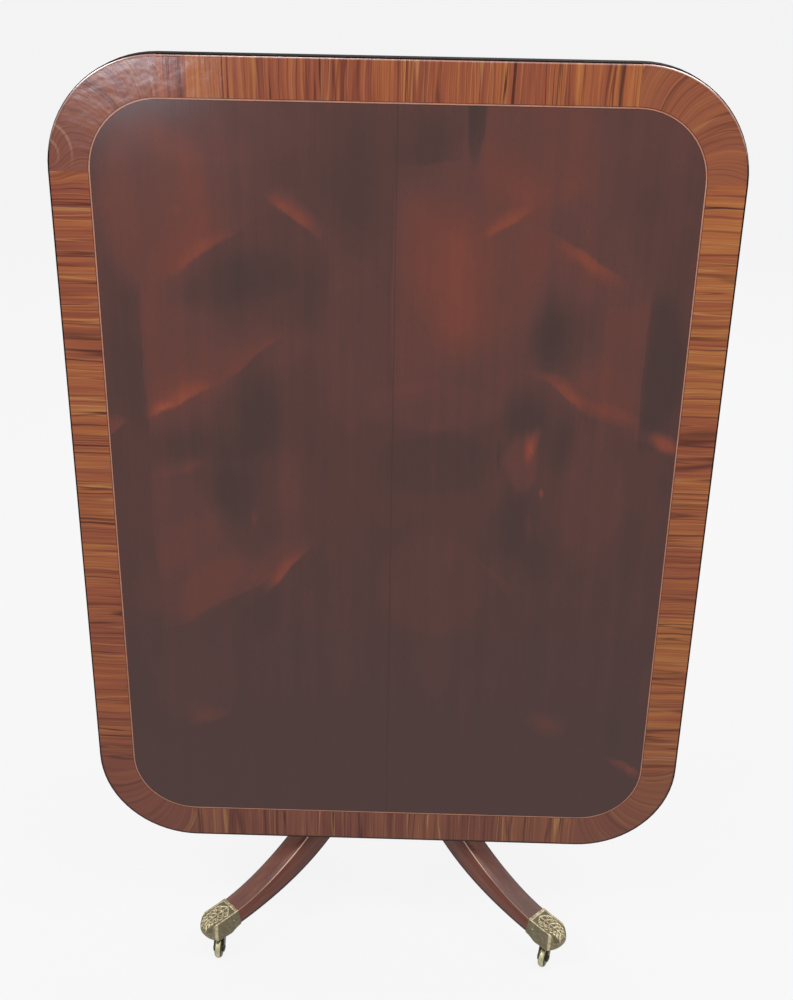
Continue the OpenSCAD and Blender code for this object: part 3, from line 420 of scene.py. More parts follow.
def crossbanding(name, **polish):
    # lively gold and red streaks that turn with the edge
    material, tree, shader = newMaterial(name, **polish)
    place = addNode(tree, "TexCoord", output="Object")
    parts = addNode(tree, "SeparateXYZ", {"Vector": place}, output=None)
    across = parts.outputs["X"]
    level = addNode(tree, "Math", {0: parts.outputs["Z"], 1: topMidZ}, operation="SUBTRACT")
    sideX, sideZ = (addNode(tree, "Math", {0: v}, operation="SIGN") for v in (across, level))
    ax, az = (addNode(tree, "Math", {0: v}, operation="ABSOLUTE") for v in (across, level))
    ax = addNode(tree, "Math", {0: ax, 1: topHalfW - topCornerR}, operation="SUBTRACT")
    az = addNode(tree, "Math", {0: az, 1: topHalfL - topCornerR}, operation="SUBTRACT")
    inSide, inEnd = (addNode(tree, "Math", {0: v, 1: 0.0}, operation="LESS_THAN") for v in (az, ax))
    fan = addNode(tree, "Math", {0: az, 1: ax}, operation="ARCTAN2")
    fan = addNode(tree, "Math", {0: fan, 1: band["fanR"]}, operation="MULTIPLY")
    fanX, fanZ, atSide, atEnd = band["apart"]
    fan = addNode(tree, "Math", {0: sideX, 1: fanX, 2: fan}, operation="MULTIPLY_ADD")
    fan = addNode(tree, "Math", {0: sideZ, 1: fanZ, 2: fan}, operation="MULTIPLY_ADD")
    sideRun = addNode(tree, "Math", {0: sideX, 1: atSide, 2: level}, operation="MULTIPLY_ADD")
    endRun = addNode(tree, "Math", {0: sideZ, 1: atEnd, 2: across}, operation="MULTIPLY_ADD")
    run = addNode(tree, "Mix", {0: inSide, 2: fan, 3: sideRun})
    run = addNode(tree, "Mix", {0: inEnd, 2: run, 3: endRun})
    ax, az = (addNode(tree, "Math", {0: v, 1: 0.0}, operation="MAXIMUM") for v in (ax, az))
    inwards = addNode(tree, "CombineXYZ", {"X": ax, "Y": az})
    inwards = addNode(tree, "VectorMath", {0: inwards}, operation="LENGTH", output="Value")
    ring = addNode(tree, "CombineXYZ", {"X": run, "Y": inwards})

    # streaks lean over in an arc round the corners, and circle an eye in the upper left one
    eye = addNode(tree, "Mapping", {
        "Vector": place, "Location": (band["eye"]["x"] / 1000, faceY, band["eye"]["z"] / 1000),
        "Scale": (band["eye"]["acrossMm"] / 1000, 1, band["eye"]["upMm"] / 1000)}, vector_type="TEXTURE")
    fromEye = addNode(tree, "VectorMath", {0: eye}, operation="LENGTH", output="Value")
    eyeUp = addNode(tree, "SeparateXYZ", {"Vector": eye}, output="Z")
    eye = addNode(tree, "TexGradient", {"Vector": eye}, output="Fac", gradient_type="QUADRATIC_SPHERE")
    lean = addNode(tree, "MapRange", {
        "Value": inwards, "From Min": topCornerR - band["width"], "From Max": topCornerR})
    lean = addNode(tree, "Math", {0: lean, 1: 2.0}, operation="POWER")
    turning = addNode(tree, "Math", {0: 1.0, 1: inSide}, operation="SUBTRACT")
    turning = addNode(tree, "Math", {0: turning, 1: inEnd}, operation="SUBTRACT")
    lean = addNode(tree, "Math", {0: lean, 1: turning}, operation="MULTIPLY")
    bendNoise = addNode(tree, "TexNoise", {"Vector": ring, "Scale": patternScale(90)})
    bendShift = addNode(tree, "MapRange", {"Value": bendNoise, "To Min": -0.003, "To Max": 0.003})
    bendShift = addNode(tree, "Math", {
        0: eye, 1: band["eye"]["shift"], 2: bendShift}, operation="MULTIPLY_ADD")
    bendShift = addNode(tree, "Math", {0: lean, 1: band["leanBy"], 2: bendShift}, operation="MULTIPLY_ADD")
    bendShift = addNode(tree, "CombineXYZ", {"X": bendShift})
    ring = addNode(tree, "VectorMath", {0: ring, 1: bendShift}, operation="ADD")

    # the banding is laid in leaves, each with its own tone
    leaf = addNode(tree, "TexVoronoi", {
        "W": run, "Scale": patternScale(band["leafMm"])}, output="Color", voronoi_dimensions="1D")
    leaf = addNode(tree, "SeparateXYZ", {"Vector": leaf}, output="X")
    tone = addNode(tree, "MapRange", {"Value": leaf, "To Min": 0.42, "To Max": 0.62})
    calm = addNode(tree, "MapRange", {"Value": turning, "To Min": 1.0, "To Max": 0.55})
    for alongMm, acrossMm, weight, detail in band["streaks"]:
        spread = addNode(tree, "Mapping", {
            "Vector": ring, "Scale": (patternScale(alongMm), patternScale(acrossMm), 1)})
        grain = addNode(tree, "TexNoise", {
            "Vector": spread, "Scale": 1.0, "Detail": detail, "Roughness": 0.6})
        grain = addNode(tree, "Math", {0: grain, 1: -0.5}, operation="ADD")
        weighed = addNode(tree, "Math", {0: grain, 1: calm}, operation="MULTIPLY")
        tone = addNode(tree, "Math", {0: weighed, 1: weight, 2: tone}, operation="MULTIPLY_ADD")
    rightSide = addNode(tree, "MapRange", {"Value": across, "From Max": 0.45, "To Max": 0.16})
    tone = addNode(tree, "Math", {0: tone, 1: rightSide}, operation="ADD")
    bright = addNode(tree, "ValToRGB", {"Fac": tone}, ramp=band["ramp"])
    dull = addNode(tree, "ValToRGB", {"Fac": tone}, ramp=band["lowRamp"])
    low = addNode(tree, "MapRange", {"Value": parts.outputs["Z"], "From Min": 0.42, "From Max": 0.20})
    colour = addNode(tree, "Mix", {0: low, 6: bright, 7: dull}, output=2, data_type="RGBA")
    # the corners are browner, most of all round the eye, which has two pale rings
    brown = addNode(tree, "MapRange", {
        "Value": fromEye, "From Min": 2.6, "From Max": 0.9, "To Min": 0.32, "To Max": 0.72})
    brown = addNode(tree, "Math", {0: brown, 1: turning}, operation="MULTIPLY")
    colour = addNode(tree, "Mix", {
        0: brown, 6: colour, 7: toLinear(band["brown"])}, output=2, data_type="RGBA")
    ringHalf = addNode(tree, "MapRange", {"Value": eyeUp, "From Min": -0.3, "From Max": 0.3, "To Max": 0.5})
    for away in band["eyeRings"]:
        pale = addNode(tree, "Math", {0: fromEye, 1: away}, operation="SUBTRACT")
        pale = addNode(tree, "Math", {0: pale}, operation="ABSOLUTE")
        pale = addNode(tree, "MapRange", {"Value": pale, "From Max": 0.05, "To Min": 1.0, "To Max": 0.0})
        pale = addNode(tree, "Math", {0: pale, 1: ringHalf}, operation="MULTIPLY")
        colour = addNode(tree, "Mix", {
            0: pale, 6: colour, 7: toLinear(band["pale"])}, output=2, data_type="RGBA")
    # fine dark and golden lines run straight across, some strong and some faint
    for offset, lineMm, thick, weight, tint in band["lines"]:
        linePlace = addNode(tree, "Mapping", {
            "Vector": ring, "Location": (offset, 0, 0),
            "Scale": (patternScale(lineMm), patternScale(600), 1)})
        line = addNode(tree, "TexNoise", {"Vector": linePlace, "Scale": 1.0, "Detail": 1.0})
        line = addNode(tree, "Math", {0: line, 1: 0.5}, operation="SUBTRACT")
        line = addNode(tree, "Math", {0: line}, operation="ABSOLUTE")
        line = addNode(tree, "MapRange", {
            "Value": line, "From Max": thick, "To Min": weight, "To Max": 0.0},
            interpolation_type="SMOOTHSTEP")
        faint = addNode(tree, "TexNoise", {"Vector": linePlace, "Scale": 0.37, "Detail": 1.0})
        faint = addNode(tree, "MapRange", {"Value": faint, "From Min": 0.36, "From Max": 0.58})
        line = addNode(tree, "Math", {0: line, 1: faint}, operation="MULTIPLY")
        line = addNode(tree, "Math", {0: line, 1: calm}, operation="MULTIPLY")
        colour = addNode(tree, "Mix", {
            0: line, 6: colour, 7: toLinear(band[tint])}, output=2, data_type="RGBA")

    # painted shade darkens the very edge along the lower end
    lowRimShade = addNode(tree, "MapRange", {
        "Value": inwards, "From Min": topCornerR - band["rimShadeWidth"],
        "From Max": topCornerR - band["rimShadeWidth"] + 0.001})
    foot = addNode(tree, "MapRange", {
        "Value": parts.outputs["Z"], "From Min": 0.36, "From Max": 0.24, "To Max": 0.85})
    lowRimShade = addNode(tree, "Math", {0: lowRimShade, 1: foot}, operation="MULTIPLY")
    colour = addNode(tree, "Mix", {0: lowRimShade, 6: colour, 7: toLinear(band["dirtAndShade"])}, output=2, data_type="RGBA")

    rough = addNode(tree, "MapRange", {"Value": bendNoise, "To Min": 0.12, "To Max": 0.20})
    uneven = addNode(tree, "TexNoise", {"Vector": ring, "Scale": patternScale(24)})
    uneven = addNode(tree, "Math", {0: grain, 1: 0.15, 2: uneven}, operation="MULTIPLY_ADD")
    bump = addNode(tree, "Bump", {"Strength": 0.6, "Distance": 0.0006, "Height": uneven})
    feed(tree, shader, {"Base Color": colour, "Roughness": rough, "Normal": bump})
    return material


def plainWood(spec):
    # straight grain along one axis of the object, or along an attribute of the piece that follows its curve
    material, tree, shader = newMaterial(spec["name"], Specular_IOR_Level=spec["gloss"])
    if "follows" in spec:
        place = addNode(tree, "Attribute", output="Vector", attribute_name=spec["follows"])
    else:
        place = addNode(tree, "TexCoord", output="Object")
    bend = addNode(tree, "TexNoise", {"Vector": place, "Scale": patternScale(50)}, output="Color")
    bend = addNode(tree, "VectorMath", {0: bend, 1: (0.5, 0.5, 0.5)}, operation="SUBTRACT")
    bend = addNode(tree, "VectorMath", {0: bend, 1: (0.006, 0.006, 0.006)}, operation="MULTIPLY")
    place = addNode(tree, "VectorMath", {0: place, 1: bend}, operation="ADD")
    tone = 0.5
    for mm, weight in ((spec["figureMm"], 0.8), (spec["grainMm"], 0.6)):
        spread = addNode(tree, "Mapping", {"Vector": place, "Scale": tuple(patternScale(m) for m in mm)})
        grain = addNode(tree, "TexNoise", {"Vector": spread, "Scale": 1.0, "Detail": 3.0})
        centred = addNode(tree, "Math", {0: grain, 1: -0.5}, operation="ADD")
        tone = addNode(tree, "Math", {0: centred, 1: weight, 2: tone}, operation="MULTIPLY_ADD")
    colour = addNode(tree, "ValToRGB", {"Fac": tone}, ramp=spec["ramp"])
    # painted sheen, highlight and shade, each as much as an attribute of the piece says
    for paintedLight in ("paintedSheen", "rubbed", "paintedShade"):
        if paintedLight in spec:
            amount = addNode(tree, "Attribute", output="Fac", attribute_name=paintedLight)
            colour = addNode(tree, "Mix", {
                0: amount, 6: colour, 7: toLinear(spec[paintedLight])}, output=2, data_type="RGBA")
    cloud = addNode(tree, "TexNoise", {"Vector": place, "Scale": patternScale(35), "Detail": 3.0})
    rough = addNode(tree, "MapRange", {
        "Value": cloud, "To Min": spec["rough"][0], "To Max": spec["rough"][1]})
    bump = addNode(tree, "Bump", {"Strength": 0.3, "Distance": 0.00025, "Height": grain})
    feed(tree, shader, {"Base Color": colour, "Roughness": rough, "Normal": bump})
    return material


def metal(spec):
    # brass or iron; the attribute read here is 1 in the bottom of cast relief, where dirt stays and shade is
    # painted, and also carries painted shade along the cups' turned-down sides
    material, tree, shader = newMaterial(spec["name"], Metallic=1.0)
    place = addNode(tree, "TexCoord", output="Object")
    patch = addNode(tree, "TexNoise", {
        "Vector": place, "Scale": patternScale(spec["patchMm"]), "Detail": 4.0, "Roughness": 0.65})
    colour = addNode(tree, "ValToRGB", {"Fac": patch}, ramp=spec["ramp"])
    patinaShade = addNode(tree, "Attribute", output="Fac", attribute_name="patinaAndShade")
    colour = addNode(tree, "Mix", {0: patinaShade, 6: colour, 7: toLinear(spec["dirtAndShade"])}, output=2, data_type="RGBA")
    fine = addNode(tree, "TexNoise", {"Vector": place, "Scale": patternScale(1.6), "Detail": 3.0})
    rough = addNode(tree, "MapRange", {
        "Value": patch, "To Min": spec["rough"][0], "To Max": spec["rough"][1]})
    rough = addNode(tree, "Math", {0: patinaShade, 1: 0.25, 2: rough}, operation="MULTIPLY_ADD")
    bump = addNode(tree, "Bump", {"Strength": spec["bump"], "Distance": 0.0002, "Height": fine})
    metallic = addNode(tree, "MapRange", {"Value": patinaShade, "To Min": 1.0, "To Max": 0.4})
    feed(tree, shader, {"Metallic": metallic, "Base Color": colour, "Roughness": rough, "Normal": bump})
    return material


# Top: the upward side of its rounded edge is burnished next to the face, and the rest of the edge is painted
# near black as shade (in metres back from the face, with the slopes that count as upwards or flat)
lip = {"bright": 0.0008, "brightAtCorner": 0.0011, "plain": 0.00012, "upwards": 0.12, "flat": 0.98}
veneer = fieldVeneer()
# even gloss that lets the streaks show
banding = crossbanding("Mahogany crossbanding, french polished", Specular_IOR_Level=0.3)
# the same wood under a strong clear shine, which draws the bright line along the upper edge
burnished = crossbanding("Mahogany edge, rounded and burnished bright", Specular_IOR_Level=0.5,
                         Coat_Weight=1.0, Coat_Roughness=0.18, Coat_IOR=2.4)
dress(veneer, "board_left", "board_right")
dress(banding, *[n for n in nodes if n.startswith("crossband_") or n.startswith("corner_")])
shadedEdge = plainWood({
    # the outer side of the edge, painted nearly black as shade and left dull
    "name": "Mahogany edge, painted dark as shade, dull", "gloss": 0.06, "figureMm": (60, 20, 60),
    "grainMm": (9, 1.2, 9), "ramp": [(0.2, "#100807"), (0.8, "#20100d")], "rough": (0.7, 0.85)})
lipping = finishedCopy("edge_lipping", banding)
lipping.data.materials.append(burnished)
lipping.data.materials.append(shadedEdge)
for face in lipping.data.polygons:
    upwards = face.normal.z > lip["upwards"]
    bright = lip["brightAtCorner"] if abs(face.center.x) > topHalfW - topCornerR else lip["bright"]
    if face.center.y > faceY + (bright if upwards else lip["plain"]):
        face.material_index = 2
    elif upwards and face.normal.y > -lip["flat"]:
        face.material_index = 1
ebonised = plainWood({
    # near black stringing with only a trace of grain
    "name": "Ebonised stringing, dyed pearwood", "gloss": 0.3, "figureMm": (20, 20, 20),
    "grainMm": (2, 2, 2), "ramp": [(0.2, "#2a1512"), (0.8, "#4a2219")], "rough": (0.2, 0.3)})
boxwood = plainWood({
    # pale warm line between the two dark ones
    "name": "Boxwood stringing, yellowed polish", "gloss": 0.3, "figureMm": (30, 30, 30),
    "grainMm": (3, 3, 3), "ramp": [(0.2, "#ad6c55"), (0.8, "#cd9278")], "rough": (0.2, 0.3)})
dress(ebonised, "dark_line_outer", "dark_line_inner")
dress(boxwood, "light_stringing")
print("top dressed")

# Stand woods
polished = {
    "gloss": 0.3, "rough": (0.30, 0.45), "ramp": [(0.15, "#54291f"), (0.5, "#733f31"), (0.85, "#8f5743")]}
oiled = {
    "gloss": 0.3, "rough": (0.45, 0.6), "ramp": [(0.15, "#43231b"), (0.5, "#5c3426"), (0.85, "#7a4a35")]}
legWood = plainWood({
    # red-brown, darker in the streaks that follow the leg's sweep, with a pale painted highlight on the inner
    # arris, painted shade along the outer and lower arrises, and a painted grey sheen on top towards the foot
    "name": "Solid mahogany, hand polished", "follows": "grain", **polished, "figureMm": (160, 9, 9),
    "grainMm": (60, 1.6, 1.6), "rubbed": "#e6c3ad", "paintedShade": "#1c100d", "paintedSheen": "#665d59"})
turnedWood = plainWood({
    # the same wood turned, so its grain runs up the column
    "name": "Solid mahogany, turned and polished", **polished, "figureMm": (9, 9, 160),
    "grainMm": (1.6, 1.6, 60)})
blockWood = plainWood({
    # bare sides of the block, hardly polished
    "name": "Solid mahogany, planed and oiled", **oiled, "figureMm": (160, 12, 12),
    "grainMm": (60, 1.8, 1.8)})
bearerWood = plainWood({
    # as the block, with its grain along the bearer
    "name": "Solid mahogany bearer, planed and oiled", **oiled, "figureMm": (12, 12, 160),
    "grainMm": (1.8, 1.8, 60)})
oak = plainWood({
    # pale open grain of the wedge's end
    "name": "Oak, riven and dry", "gloss": 0.2, "figureMm": (14, 14, 60), "grainMm": (1.2, 1.2, 20),
    "ramp": [(0.2, "#7d5c38"), (0.8, "#b8925f")], "rough": (0.6, 0.8)})
antiqueBrass = metal({
    # khaki lacquered brass, brown in its hollows from dirt and painted shade, and painted brown as shade down the
    # cups' sides
    "name": "Cast brass, chased and toned", "patchMm": 6, "ramp": [(0.34, "#978c6c"), (0.66, "#dccfac")],
    "dirtAndShade": "#554c36", "rough": (0.34, 0.5), "bump": 0.3})
wheelBrass = metal({
    # pale worn tread
    "name": "Turned brass, worn bright", "patchMm": 6, "ramp": [(0.3, "#a09a78"), (0.7, "#c9c49f")],
    "dirtAndShade": "#3a3524", "rough": (0.36, 0.52), "bump": 0.25})
forkBrass = metal({
    # dark bronze brown skin on the castor fork
    "name": "Cast brass, darkened", "patchMm": 8, "ramp": [(0.3, "#2c2a22"), (0.7, "#57523c")],
    "dirtAndShade": "#17140d", "rough": (0.35, 0.5), "bump": 0.2})
fittingBrass = metal({
    # soft yellow of handled fittings
    "name": "Brass fittings, brushed and aged", "patchMm": 12, "ramp": [(0.3, "#8d7442"), (0.7, "#b89a5e")],
    "dirtAndShade": "#3a2d16", "rough": (0.25, 0.42), "bump": 0.15})
iron = metal({
    # grey brown skin of old screws and plate
    "name": "Wrought iron, blackened", "patchMm": 6, "ramp": [(0.3, "#3a3734"), (0.7, "#6a6560")],
    "dirtAndShade": "#1a1613", "rough": (0.4, 0.6), "bump": 0.35})

# Legs, lofted along the same two curves as their solids, with a cock bead along both top arrises
leg = {"top": [(48, 305), (63, 270.5), (199, 112), (340, 81)],
       "low": [(73, 190), (117, 166), (148.5, 84.5), (335, 53)],
       "rootR": 42, "rootTop": 305, "rootLow": 190,
       "halfW": 18, "bead": 1.15, "quirk": 0.55, "arris": 1.4, "steps": 64,
       # mm along the leg where the painted highlight on the inner bead ends and is full, painted shade and its
       # heights on the sides, and painted grey sheen with where it begins and is full; the front right leg has its
       # own painted light
       "rubbedTo": (350, 215), "faintHighlight": 0.22, "shadeDark": 0.9, "shadeEnds": 6.5, "shadeFull": 4.0,
       "sheenLevel": 0.3, "sheenFrom": 150, "sheenTo": 360, "frontRight": {"rubbedTo": (310, 200), "sheenLevel": 0.6}}


def legSection(height):
    # half section from the middle of the underside up to the middle of the top: across, up
    w, r, b, q = leg["halfW"], leg["arris"], leg["bead"], leg["quirk"]
    line = [(0, 0), (w * 0.6, 0), (w - r, 0)]
    line += [(w - r + r * math.sin(a), r - r * math.cos(a)) for a in (math.radians(d) for d in (22, 45, 68))]
    line += [(w, r), (w, leg["shadeFull"]), (w, leg["shadeEnds"]), (w, height * 0.5), (w, height - 2 * b - q),
             (w - q, height - 2 * b)]
    for d in (-40, -10, 20, 50, 80, 110, 140):
        a = math.radians(d)
        line.append((w - b + b * math.cos(a), height - b + b * math.sin(a)))
    return line + [(w - 2 * b - q * 0.4, height - q), (w - 2 * b - q * 1.6, height - 0.1),
                   (w * 0.4, height), (0, height)]


def makeLeg(corner):
    rubbed, paintedShade, paintedSheen = [], [], []
    paintedLight = {**leg, **leg["frontRight"]} if corner == "front_right" else leg
    inner = -corners[corner][0] * (1 if corners[corner][1] < 0 else -1)
    stations = [((leg["rootR"], leg["rootTop"]), (leg["rootR"], leg["rootLow"]))]
    for i in range(leg["steps"] + 1):
        t = i / leg["steps"]
        stations.append((bezier(leg["top"], t), bezier(leg["low"], t)))
    verts, grain, travelled, before = [], [], 0.0, None
    for top, low in stations:
        middle = ((top[0] + low[0]) / 2, (top[1] + low[1]) / 2)
        if before:
            travelled += math.dist(middle, before)
        before = middle
        height = math.dist(top, low)
        upR, upZ = (top[0] - low[0]) / height, (top[1] - low[1]) / height
        half = legSection(height)
        outline = half + [(-w, h) for w, h in reversed(half[1:-1])]
        for w, h in outline:
            verts.append(atCorner(corner, low[0] + upR * h, w, low[1] + upZ * h))
            grain.append((travelled / 1000, w / 1000, h / 1000))
            # painted highlight on the inner bead, painted shade on the outer bead and low on the sides, painted
            # sheen along the top
            onBead = w * inner > leg["halfW"] - 1.2 * leg["bead"] and h > height - 1.3 * leg["bead"]
            rubbed.append(max(smoothStep(*paintedLight["rubbedTo"], travelled), leg["faintHighlight"]) if onBead else 0.0)
            onOuterBead = w * inner < 1.2 * leg["bead"] - leg["halfW"] and h > height - 2.2 * leg["bead"]
            onSide = smoothStep(leg["shadeEnds"], leg["shadeFull"], h)
            paintedShade.append(leg["shadeDark"] * (1.0 if onOuterBead else onSide))
            sheenLevel = paintedLight["sheenLevel"] * smoothStep(leg["sheenFrom"], leg["sheenTo"], travelled)
            paintedSheen.append(sheenLevel if h > height - 0.7 else 0.0)
    n, last = len(outline), len(stations) - 1
    faces = gridFaces(len(stations), n, last, n) + [tuple(range(n)), tuple(range(last * n, (last + 1) * n))]
    piece = newPiece("leg_" + corner + "_polished", verts, faces, legWood, "stand", "leg_" + corner,
                     {"grain": grain, "rubbed": rubbed, "paintedShade": paintedShade, "paintedSheen": paintedSheen}, sharpDeg=50)


for corner in corners:
    makeLeg(corner)
print("legs made")

# Brass cups: a rounded toe, with a raised border and mouth band and chased leaves between them
cup = {"brow": [(340, 82), (354, 79), (368, 78), (380, 76)],
       "heel": [(355, 43), (350, 44), (347, 49), (335, 52)],
       "halfW": 19.0, "noseR": 380.0, "noseZ": 59.2, "noseRound": 16.8, "ridge": 0.9, "across": 84,
       "along": 220, "border": 2.6, "borderHigh": 0.6, "mouthBand": 4.4, "bandHigh": 0.5,
       "leafHigh": 1.1, "leafEnd": 63.0, "stemFrom": 7, "stemStep": 1.3, "stemPoints": 42,
       # each pair of leaves: distance from the mouth, reach to the sides, and size
       "leaves": ((8, 13.6, 1.0), (18, 13.0, 1.0), (28, 12.0, 0.9), (37, 10.5, 0.8), (45, 9.0, 0.7),
                  (53, 7.0, 0.6)),
       "bossR": 11.0, "bossLow": 41.0, "bossTop": 44.0, "bossRound": 0.4, "boreR": 3.7,
       "chamberR": 6.6, "chamberLow": 40.0, "floorZ": 47.9, "chamberTop": 53.0, "pivotR": 364.0}


def cupOutline():
    # side view in radius and height, from the mouth over the nose and back under the heel
    line = [bezier(cup["brow"], i / 30) for i in range(31)]
    line += [(cup["noseR"] + cup["noseRound"] * math.cos(math.radians(d)),
              cup["noseZ"] + cup["noseRound"] * math.sin(math.radians(d))) for d in range(86, -91, -4)]
    return line + [bezier(cup["heel"], i / 16) for i in range(17)]


def evenly(line, count):
    # the same line as evenly spaced points, each with its distance along the line
    lengths = [0.0]
    for a, b in zip(line, line[1:]):
        lengths.append(lengths[-1] + math.dist(a, b))
    points, k = [], 0
    for i in range(count + 1):
        want = lengths[-1] * i / count
        while k < len(line) - 2 and lengths[k + 1] < want:
            k += 1
        f = (want - lengths[k]) / max(lengths[k + 1] - lengths[k], 1e-9)
        points.append(tuple(line[k][j] + (line[k + 1][j] - line[k][j]) * f for j in (0, 1)) + (want,))
    return points


def leafStrokes():
    # a stem, and pairs of leaves with a curl in each: points from the mouth and from the middle line, in mm,
    # then the stroke's width and height
    strokes = [([(cup["stemFrom"] + i * cup["stemStep"], 0.0) for i in range(cup["stemPoints"])], 1.0, 1.0)]
    for start, reach, size in cup["leaves"]:
        sweep = [(start + 15 * size * t, 1.0 + (reach - 1.0) * math.sin(t * 1.9))
                 for t in (i / 15 for i in range(16))]
        centre = (start + 9.0 * size, reach * 0.60)
        curl = [(centre[0] + 2.0 * size * math.cos(a), centre[1] + 2.0 * size * math.sin(a))
                for a in (i * 0.5 for i in range(11))]
        strokes += [(sweep, 1.25, 0.95), (curl, 0.95, 0.8)]
    return strokes


def reliefAt(strokes, s, w):
    # height over the plain skin in mm, and from 0 to 1 how dark it is painted there: dirt and painted shade in the
    # ground between the leaves, and darker towards the nose
    side = abs(w)
    edge = cup["halfW"] - side
    toNose = smoothStep(cup["leafEnd"] + 8, cup["leafEnd"] - 2, s)
    border = cup["borderHigh"] * smoothStep(cup["border"] + 0.5, cup["border"] - 0.5, edge) * toNose
    mouth = cup["bandHigh"] * smoothStep(cup["mouthBand"] + 0.5, cup["mouthBand"] - 0.5, s)
    inside = smoothStep(cup["border"] - 0.2, cup["border"] + 1.2, edge)
    inside *= smoothStep(cup["mouthBand"], cup["mouthBand"] + 1.5, s) * toNose
    leaf = 0.0
    if inside > 0:
        for points, width, high in strokes:
            near = min((s - a) ** 2 + (side - b) ** 2 for a, b in points)
            leaf = max(leaf, high * math.exp(-near / width ** 2))
    ripple = 0.10 * math.sin(s * 1.9 + side * 0.8) * math.sin(side * 1.7 - s * 0.5)
    clean = max(smoothStep(0.08, 0.65, leaf) * inside, smoothStep(1.2, 0.8, edge))
    dirtAndShade = max(inside * 0.85, 0.6 * smoothStep(46, 60, s)) * (1 - clean)
    return max(border, mouth, (leaf * cup["leafHigh"] + ripple) * inside), dirtAndShade


def cupShape():
    stations = evenly(cupOutline(), cup["along"])
    strokes, n, ridge, halfW = leafStrokes(), cup["across"], cup["ridge"], cup["halfW"]
    places = [((2 * j / n - 1) * (halfW - ridge), 0.0) for j in range(n + 1)]
    for turn in (30, 60, 90):
        out = halfW - ridge + ridge * math.sin(math.radians(turn))
        drop = ridge * (1 - math.cos(math.radians(turn)))
        places = [(-out, drop)] + places + [(out, drop)]
    points, patinaAndShade, m = [], [], len(places)
    for i, (r, z, s) in enumerate(stations):
        before, after = stations[max(i - 1, 0)], stations[min(i + 1, len(stations) - 1)]
        tangentR, tangentZ = after[0] - before[0], after[1] - before[1]
        length = math.hypot(tangentR, tangentZ)
        under = smoothStep(70, 80, s)
        for w, drop in places:
            high, dirtAndShade = reliefAt(strokes, s, w)
            # the nose is round in plan too, so it reaches less far towards both sides
            nose = math.sqrt(max(1 - (abs(w) / halfW) ** 2.4, 0.0))
            high = high * (1 - under) - drop
            points.append((r - max(r - cup["noseR"], 0.0) * (1 - nose) - tangentZ / length * high, w,
                           z + tangentR / length * high))
            # painted shade along the turned-down sides, on top of the relief's darkening
            patinaAndShade.append(min(dirtAndShade + (0.75 if drop > 0.9 * ridge else 0.0), 1.0))
    last = (len(stations) - 1) * m
    faces = gridFaces(len(stations), m, len(stations) - 1, m - 1)
    faces.append(tuple(i * m for i in range(len(stations))))
    faces.append(tuple(i * m + m - 1 for i in range(len(stations))))
    faces.append(tuple(range(m)) + tuple(last + j for j in reversed(range(m))))
    return points, faces, patinaAndShade


def turned(profile, axisR, around=48):
    # a closed profile of radius and height in mm, turned about an upright axis in a leg's own plane
    turns = [2 * math.pi * k / around for k in range(around)]
    points = [(axisR + r * math.cos(turn), r * math.sin(turn), z) for turn in turns for r, z in profile]
    return points, gridFaces(around, len(profile), around, len(profile))


def cutAway(piece, points, faces):
    # takes another shape out of a piece and keeps the piece's attributes
    mesh = bpy.data.meshes.new("cutter")
    mesh.from_pydata(points, [], faces)
    finishMesh(mesh, 35)
    cutter = bpy.data.objects.new("cutter", mesh)
    scene.collection.objects.link(cutter)
    cut = piece.modifiers.new("Cut", "BOOLEAN")
    cut.operation, cut.object, cut.solver = "DIFFERENCE", cutter, "EXACT"
    bpy.context.view_layer.update()
    done = bpy.data.meshes.new_from_object(piece.evaluated_get(bpy.context.evaluated_depsgraph_get()))
    piece.modifiers.clear()
    piece.data = done
    bpy.data.objects.remove(cutter)


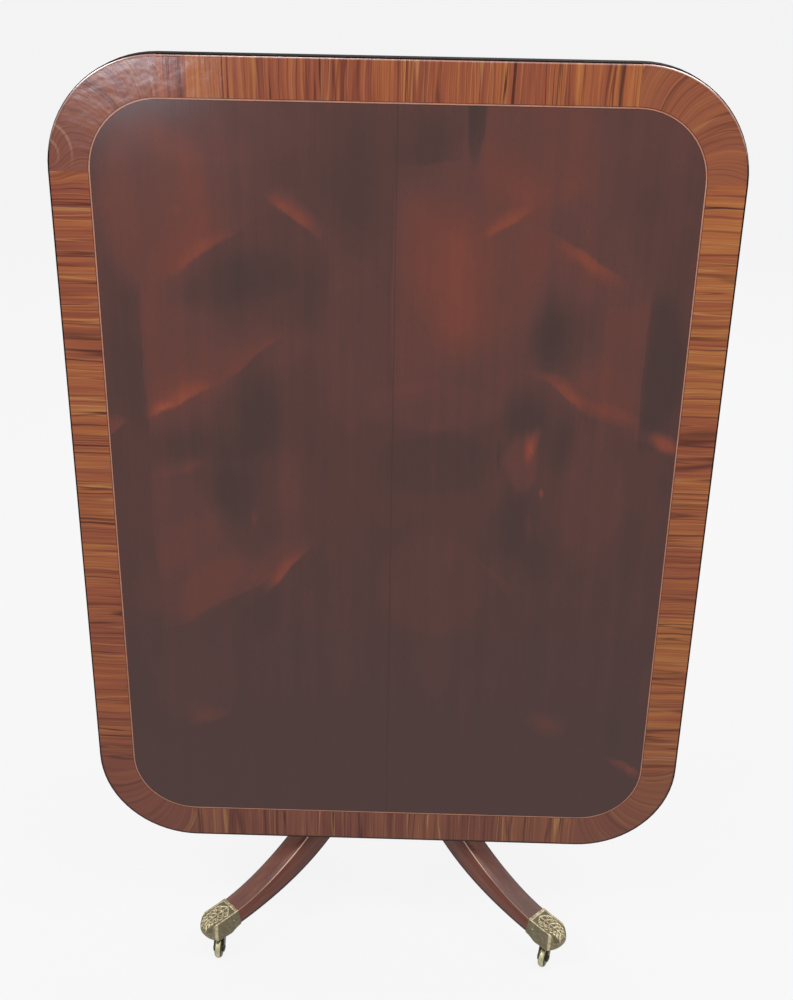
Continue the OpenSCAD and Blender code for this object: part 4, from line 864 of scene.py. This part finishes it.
cupPoints, cupFaces, cupPatinaShade = cupShape()
bore, ringR, lowZ, topZ, soft = (cup[k] for k in ("boreR", "bossR", "bossLow", "bossTop", "bossRound"))
boss = [(bore, lowZ), (ringR - soft, lowZ), (ringR, lowZ + soft), (ringR, topZ), (bore, topZ)]
bossPoints, bossFaces = turned(boss, cup["pivotR"])
wide, lowZ, floorZ, topZ = (cup[k] for k in ("chamberR", "chamberLow", "floorZ", "chamberTop"))
chamber = [(0.01, lowZ), (bore, lowZ), (bore, floorZ), (wide, floorZ), (wide, topZ), (0.01, topZ)]
chamberPoints, chamberFaces = turned(chamber, cup["pivotR"])
for corner in corners:
    skin, ringAt, hole = ([atCorner(corner, *p) for p in points]
                          for points in (cupPoints, bossPoints, chamberPoints))
    shell = newPiece("cup_" + corner + "_chased", skin, cupFaces, antiqueBrass, "stand", "cup_" + corner,
                     {"patinaAndShade": cupPatinaShade}, sharpDeg=40)
    cutAway(shell, hole, chamberFaces)
    ring = newPiece("cup_boss_" + corner, ringAt, bossFaces, antiqueBrass, "stand",
                    attributes={"patinaAndShade": [0.4] * len(bossPoints)})
print("cups made")

# Castors
castor = {"brightTread": 0.0041}  # half the width of the tread that is worn bright, in metres
jointOf = {joint["name"]: joint for joint in frame["joints"]}
for corner in corners:
    wheel = finishedCopy("wheel_" + corner, wheelBrass)
    wheel.data.materials.append(forkBrass)
    middle, axle = (Vector(jointOf["roll_" + corner][key]) for key in ("pos_m", "axis"))
    # the wheel's sides beyond the worn tread take the dark fork brass, painted shade on their rounded edges
    for face in wheel.data.polygons:
        face.material_index = 1 if abs((face.center - middle).dot(axle)) > castor["brightTread"] else 0
    finishedCopy("fork_" + corner, forkBrass)
    dress(iron, "pintle_" + corner)
    dress(forkBrass, "axle_pin_" + corner)
dress(antiqueBrass, "cup_pins")

# Column, block and bearers
finishedCopy("column", turnedWood)
finishedCopy("block", blockWood, bevelMm=1.2)
finishedCopy("bearer_left", bearerWood, bevelMm=1.2)
finishedCopy("bearer_right", bearerWood, bevelMm=1.2)
dress(oak, "tenon_wedge")
for side in ("left", "right"):
    finishedCopy("bolt_" + side, fittingBrass)
    finishedCopy("bolt_barrel_" + side, fittingBrass)
    dress(fittingBrass, "keeper_" + side)
    finishedCopy("pivot_pin_" + side, iron)
dress(fittingBrass, "pivot_washers")
dress(iron, "bearer_screws", "barrel_screws", "keeper_screws", "leg_plate", "leg_plate_screws")
print("stand dressed")
